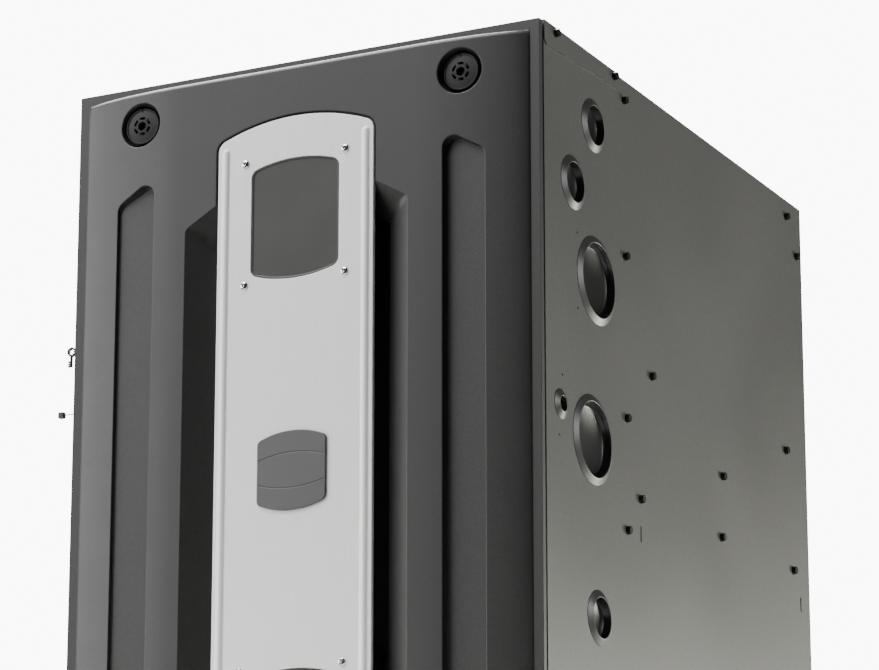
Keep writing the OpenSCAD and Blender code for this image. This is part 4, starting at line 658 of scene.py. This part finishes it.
def shell_height(x, z):
    """Height of the shell's face over the rim: the bowed face, or the lowest recess where one lies."""
    x = np.abs(x)
    u = np.clip((x - SHELL_HALF + BOW_RUN) / BOW_RUN, 0, 1)
    end = np.clip(SHELL_ROLL - np.minimum(SHELL_TOP - z, z - SHELL_LOW), 0, SHELL_ROLL)
    face = np.maximum(BOW * (1 - u * u) ** BOW_POWER - SHELL_ROLL + np.sqrt(SHELL_ROLL ** 2 - end ** 2), 0)
    knob = np.hypot(x - KNOB_X, np.maximum(z, HEIGHT - z) - KNOB_TOP)
    slope = np.maximum(face - fall(valley_far(x, z), VALLEY_ROLL, VALLEY_LEAN), VALLEY_LOW)
    return np.minimum.reduce([
        face,
        recess(face, channel_far(x, z), *CHANNEL),
        recess(face, knob - POCKET_R, *POCKET),
        recess(face, seat_far(x, z), *SEAT),
        slope + recess(0.0, slot_far(x, z), *SLOT)])


# The mesh follows each edge: the distances below run down its roll, its wall and its fillet
rings = []
for e in (0.0, 0.3, 0.8, 1.5, 2.5, 3.8, SHELL_ROLL):
    loop = [(-SHELL_HALF + e, SHELL_LOW + e), (SHELL_HALF - e, SHELL_LOW + e),
            (SHELL_HALF - e, SHELL_TOP - e), (-SHELL_HALF + e, SHELL_TOP - e)]
    rings.append([p for k in range(4) for p in spaced(loop[k], loop[(k + 1) % 4], 9.0)])
for t in (1.2, 1.0, 0.7, 0.35, 0.1, 0.0, -0.3, -0.6, -0.85, -1.1, -1.35, -1.6, -1.9):
    rings += [channel_ring(t), [(-x, z) for x, z in reversed(channel_ring(t))]]
rings += [valley_ring(t) for t in (0.84, 0.55, 0.28, 0.0, -15.0, -28.0)]
rings += [slot_ring(t) for t in (2.0, 1.5, 0.9, 0.4, 0.1, -0.2, -0.7, -1.1, -1.5, -2.2, -3.0)]
rings += [seat_ring(t) for t in (0.6, 0.3, 0.0, -0.15, -0.6)]
for r in (25.0, 24.7, 24.3, 23.9, POCKET_R, 22.8, 22.0, 21.2, 20.4, 19.6, 18.9):
    rings += [circle(sx * KNOB_X, z, r) for sx in (-1, 1) for z in (KNOB_LOW, KNOB_TOP)]
GRID, BOW_STEPS, ROWS, ROW_END = 13.0, 26, 60, 5.0
columns = [SHELL_HALF - BOW_RUN + BOW_RUN * math.sqrt(1 - (k / BOW_STEPS) ** (1 / BOW_POWER))
           for k in range(1, BOW_STEPS + 1)]
columns = [GRID * k for k in range(-10, 11)] + columns + [-c for c in columns]
rows = [SHELL_LOW + ROW_END + (SHELL_TOP - SHELL_LOW - 2 * ROW_END) * k / ROWS for k in range(ROWS + 1)]
points = [(x, z) for x in columns for z in rows if abs(x) < SHELL_HALF - 0.5]
shell = relief(rings, points, shell_height, FRONT, (SHELL_WALL,), skirt=0.0)
# Spark-eroded tool grain on charcoal plastic: the eye sees an even satin with a fine sparkle and dull pits
moulded = finish("shell_moulded_grain_plastic", "#232322", "#2d2d2c", 0.54, 1.5, 0.10, haze=0.02, coat=0.18)
piece("door_shell_moulding", shell, moulded, "door", ("door_shell",))

# Centre strip: an aluminium plate, brushed along its length and lacquered silver, that lies in the shell's
# seat. A long bead is pressed out along each side, and either sight window has an opening. Eight screws hold it.
strip_far, strip_ring = barrel(89.5, 66.0, 810.3, 220.0, 12.0)
window_far, window_ring = barrel(50.3, 637.8, 765.3, 150.0, 10.0)
BEAD_X, BEAD_END, BEAD_HALF, BEAD_H, BEAD_REACH, BLEND = 80.6, 781.5, 4.25, 1.8, 6.5, 0.5
BEAD_R = (BEAD_HALF ** 2 + BEAD_H ** 2) / (2 * BEAD_H)
STRIP_BACK, STRIP_ROLL, WINDOW_ROLL = SEAT[0], 0.9, 0.7


def edge_roll(inside, roll):
    """Drop of a rounded outer edge at that distance inside it."""
    return roll - np.sqrt(roll ** 2 - np.clip(roll - inside, 0, roll) ** 2)


def strip_height(x, z):
    """Height of the strip's face over the rim: its plate, the pressed bead, and the rolled edges."""
    x, z = np.abs(x), np.maximum(z, HEIGHT - z)
    bead = np.hypot(x - BEAD_X, np.maximum(z - BEAD_END, 0))
    lift = np.sqrt(np.maximum(BEAD_R ** 2 - bead ** 2, 0)) - BEAD_R + BEAD_H
    lift = np.where(lift > BLEND, lift, BLEND * np.exp(np.minimum(lift - BLEND, 0) / BLEND) - BLEND * math.exp(-6))
    lift = np.where(bead < BEAD_REACH, np.maximum(lift, 0), 0)
    return BOW + lift - edge_roll(-strip_far(x, z), STRIP_ROLL) - edge_roll(window_far(x, z), WINDOW_ROLL)


rings = [strip_ring(-t) for t in (0.0, 0.08, 0.25, 0.5, STRIP_ROLL)]
for t in (0.0, 0.06, 0.2, 0.4, WINDOW_ROLL):
    rings += [window_ring(t), [(x, HEIGHT - z) for x, z in reversed(window_ring(t))]]
for r in (0.7, 1.5, 2.3, 3.0, 3.6, 4.1, 4.5, 5.1, 5.8):
    for x in (-BEAD_X, BEAD_X):
        loop = fan((x, BEAD_END), r, 0, math.pi, 20) + fan((x, HEIGHT - BEAD_END), r, math.pi, math.tau, 20)
        rings.append([p for k in range(len(loop)) for p in spaced(loop[k], loop[(k + 1) % len(loop)], 12.0)])
points = [(GRID * i, 80.0 + GRID * k) for i in range(-5, 6) for k in range(56)]
strip = relief(rings, points, strip_height, FRONT, STRIP_BACK,
               keep=lambda x, z: (strip_far(x, z) < 0) & (window_far(x, np.maximum(z, HEIGHT - z)) > 0))
# Brushed silver lacquer: hair lines along the strip break the highlight into fine vertical streaks
brushed = finish("strip_brushed_silver_lacquer", "#f0f0ef", "#f9f9f8", 0.45, 0.5, 0.02, metallic=0.15,
                 drawn=(1, 1, 60), haze=0.01)
piece("centre_strip_plate", strip, brushed, "door", ("trim_strip",))

# Sight windows: smoked panes of clear plastic with a bevelled frame moulded on, one under each opening,
# clipped into the strip from behind, so that the burners and the board's light can be seen.
pane_far, pane_ring = barrel(50.0, 638.1, 765.0, 149.7, 9.7)
PANE_SUNK, FRAME_W, PANE_GRID = 0.8, 1.3, 12.0


def pane_height(x, z):
    """Height of the pane over the rim: its rolled edge, the flat frame, and the bevel down to the clear middle."""
    inside = -pane_far(x, z)
    return BOW - PANE_SUNK - edge_roll(inside, 0.5) - 0.5 * np.clip((inside - FRAME_W) / 0.9, 0, 1)


rings = [pane_ring(-t) for t in (0.0, 0.15, 0.5, 1.2, 1.4, 2.1, 2.3, 8.0)]
points = [(PANE_GRID * i, 640.0 + PANE_GRID * k) for i in range(-3, 4) for k in range(1, 10)]
pane = relief(rings, points, pane_height, FRONT, STRIP_BACK, keep=lambda x, z: pane_far(x, z) < 0)
# Satin tool face on smoked acrylic: an even, dull sheen, a shade lighter and darker in slow patches
smoked = finish("window_smoked_satin_plastic", "#2b2c28", "#32332f", 0.5, 45.0, 0.0, ior=1.49, haze=0.02)
piece("upper_sight_pane", pane, smoked, "door", ("upper_window",))
pane_corners, pane_faces, pane_normals = pane
ends = np.cumsum([len(f) for f in pane_faces])[:-1]
flipped = (pane_corners * (1, 1, -1) + (0, 0, HEIGHT), [f[::-1] for f in pane_faces],
           np.concatenate([n[::-1] for n in np.split(pane_normals * (1, 1, -1), ends)]))
piece("lower_sight_pane", flipped, smoked, "door", ("lower_window",))

# Badge: a small arched plate of dark satin aluminium, stamped with two arched grooves and left bare, and
# stuck on the middle of the strip.
badge_far, badge_ring = barrel(38.8, 397.45, 478.85, 92.0, 6.0)
BADGE_T, BADGE_ROLL = 2.5, 0.7
GROOVE_UP, GROOVE_R, GROOVE_ARC, GROOVE_HALF, GROOVE_SPAN, GROOVE_CUT = 18.75, 121.4, 122.0, 0.75, 36.8, 0.5


def badge_height(x, z):
    """Height of the badge over the rim: its flat face with two arched grooves, and its rolled edge."""
    up = np.abs(z - HEIGHT / 2)
    groove = np.abs(np.hypot(x, up - GROOVE_UP + GROOVE_ARC) - GROOVE_R)
    cut = GROOVE_CUT * np.clip((GROOVE_HALF - groove) / 0.3, 0, 1)
    return BOW + BADGE_T - edge_roll(-badge_far(x, z), BADGE_ROLL) - np.where(badge_far(x, z) < -1.5, cut, 0)


rings = [badge_ring(-t, 4.0) for t in (0.0, 0.08, 0.25, 0.45, BADGE_ROLL, 1.4, 1.6)]
centre = (0, HEIGHT / 2 + GROOVE_UP - GROOVE_ARC)
for r in (120.5, 120.7, 120.95, GROOVE_R, 121.85, 122.1, 122.3):
    half_turn = math.asin(GROOVE_SPAN / r)
    arc = fan(centre, r, math.pi / 2 - half_turn, math.pi / 2 + half_turn, 1.5)
    rings.append(arc + [(-x, HEIGHT - z) for x, z in arc])
points = [(6.0 * i, 401.0 + 5.5 * k) for i in range(-6, 7) for k in range(14)]
badge = relief(rings, points, badge_height, FRONT, BOW, keep=lambda x, z: badge_far(x, z) < 0)
# Blasted and lacquered aluminium: a soft even lustre with a fine tooth
satin = finish("badge_blasted_aluminium", "#505050", "#606060", 0.42, 0.6, 0.03, metallic=0.6)
piece("bare_badge_plate", badge, satin, "door", ("badge_plate",))

# Strip screws: eight button-head screws with a six-lobed socket, bright chrome plated, that clamp the strip,
# the window housings and the shell together.
SCREW_R, SOCKET_R, LOBE = 4.3, 2.0, 0.28
SCREW_X, SCREW_Z = 57.5, (766.3, 636.8, 239.5, 110.0)


def button_head(x, z):
    """Dome with a rolled edge and a deep socket of six lobes."""
    rho = np.hypot(x, z)
    socket = rho - SOCKET_R - LOBE * np.cos(6 * np.arctan2(z, x))
    dome = 1.3 + 0.9 * (1 - (rho / SCREW_R) ** 2)
    return dome - edge_roll(SCREW_R - rho, 1.2) - 1.7 * np.clip(-socket / 0.2, 0, 1)


LOCAL = (Vector((0, 0, 0)), Vector((1, 0, 0)), Vector((0, 0, 1)), Vector((0, -1, 0)))
rings = [circle(0, 0, r, 9) for r in (SCREW_R, 4.22, 4.0, 3.6, 3.2, 2.75)]
points = [(0.25 * i, 0.25 * k) for i in range(-11, 12) for k in range(-11, 12) if math.hypot(i, k) < 10.6]
head = relief(rings, points, button_head, LOCAL, 0.0, keep=lambda x, z: np.hypot(x, z) < SCREW_R)
# Chrome plate on steel: mirror bright, with a faint haze from the plating
chrome = finish("screw_chrome_plated_steel", "#d9dadb", "#e8e9ea", 0.13, 0.4, 0.004, metallic=1.0)
for k, (x, z) in enumerate([(sx * SCREW_X, z) for sx in (-1, 1) for z in SCREW_Z]):
    # Each screw was driven home at its own angle
    piece("strip_screw_%d" % (k + 1), head, chrome, "door", ("trim_screws",) if k == 0 else (),
          (x, RIM_Y - BOW, z), (0, 0.5 + 0.9 * k, 0))

# Latch knobs: quarter-turn knobs of black nylon in the shell's round pockets, each with a thin rim, a domed
# face, a hex socket ringed by six arched slots, and a post that turns between the jaws behind the apron.
KNOB_R, KNOB_FACE, KNOB_UNDER, DOME_R, DOME_H = 19.4, 11.5, 5.0, 17.4, 1.9
RIM_IN, RIM_ROOT, RIM_H, NOTCH_HALF = 17.1, 3.4, 2.3, 0.75
HEX_HALF, HEX_FLOOR, SLOT_R, SLOT_HALF, SLOT_ROUND, SLOT_CUT, SLOT_TURN = 4.4, 6.5, 8.5, 0.85, 0.62, 5.0, 18


def knob_height(x, z):
    """Height of the knob's face: a dome, a thin rim with a notch, six arched slots and a hex socket."""
    rho, angle = np.hypot(x, z), np.arctan2(z, x)
    dome = np.where(rho < 17.7, KNOB_FACE - DOME_H * (rho / DOME_R) ** 2, 0)
    ring = KNOB_FACE - RIM_ROOT + RIM_H * np.clip((rho - RIM_IN) / 0.9, 0, 1)
    face = np.maximum(dome, ring) - edge_roll(KNOB_R - rho, 1.0)
    notch = np.clip((NOTCH_HALF - np.abs(x)) / 0.3, 0, 1) * (z > 15.4) * np.clip((KNOB_R - rho) / 0.6, 0, 1)
    face = face - 0.5 * notch
    sixth = math.tau / 6
    off = (angle - sixth / 2) / sixth
    turn = np.abs(off - np.round(off)) * sixth
    away = np.maximum(turn - math.radians(SLOT_TURN), 0) * SLOT_R
    slot = np.hypot(np.maximum(np.abs(rho - SLOT_R) - SLOT_HALF, 0), away)
    face = face - SLOT_CUT * np.clip((SLOT_ROUND - slot) / 0.2, 0, 1)
    hexagon = np.max([x * math.cos(k * sixth) + z * math.sin(k * sixth) for k in range(6)], axis=0)
    return np.minimum(face, HEX_FLOOR + np.clip(hexagon - HEX_HALF, 0, 0.2) / 0.2 * 6.0)


rings = [circle(0, 0, r, 4) for r in (KNOB_R, 19.34, 19.15, 18.9, 18.6, 18.4, 18.0, 17.7, 17.55, 17.3, 16.2,
                                      14.6, 13.2, 12.2, 11.1)]
rings += [circle(0, 0, r, 2.5) for r in (10.05, 9.97, 9.75, 9.3, SLOT_R, 7.7, 7.25, 7.03, 6.95)]
for r in (4.6, HEX_HALF):
    tips = [(r / math.cos(math.pi / 6) * math.cos(math.tau * (k + 0.5) / 6),
             r / math.cos(math.pi / 6) * math.sin(math.tau * (k + 0.5) / 6)) for k in range(6)]
    rings.append([p for k in range(6) for p in spaced(tips[k], tips[(k + 1) % 6], 0.8)])
points = [(x, 15.5 + 0.4 * k) for x in (-0.76, -0.6, -0.44, 0.44, 0.6, 0.76) for k in range(9)]
front = relief(rings, points, knob_height, LOCAL, KNOB_UNDER, keep=lambda x, z: np.hypot(x, z) < KNOB_R)
POST_R, KEY_R, POST_END = 4.0, 7.0, 21.6
post = turned([(AXIS, -5.2), (KNOB_R - 0.3, -5.2), (KNOB_R - 0.05, -4.9), (KNOB_R - 0.05, -3.1), (17.8, -1.5),
               (POST_R, -1.5), (POST_R, 1.6), (KEY_R - 0.2, 1.6), (KEY_R, 1.8), (KEY_R, 2.9), (KEY_R - 0.2, 3.1),
               (POST_R, 3.1), (POST_R, 20.8), (3.2, POST_END), (AXIS, POST_END)], 72)
# Moulded nylon with a fine spark finish: near black, with a dull sheen that shows the rim
black_nylon = finish("knob_moulded_black_nylon", "#101010", "#161616", 0.68, 0.8, 0.02)
for corner, x, z in (("upper_left", -KNOB_X, KNOB_TOP), ("upper_right", KNOB_X, KNOB_TOP),
                     ("lower_left", -KNOB_X, KNOB_LOW), ("lower_right", KNOB_X, KNOB_LOW)):
    body, at = corner + "_knob", (x, RIM_Y, z)
    piece(corner + "_knob_face", front, black_nylon, body, ("knob_" + corner,), at)
    piece(corner + "_knob_post", post, black_nylon, body, (), at)
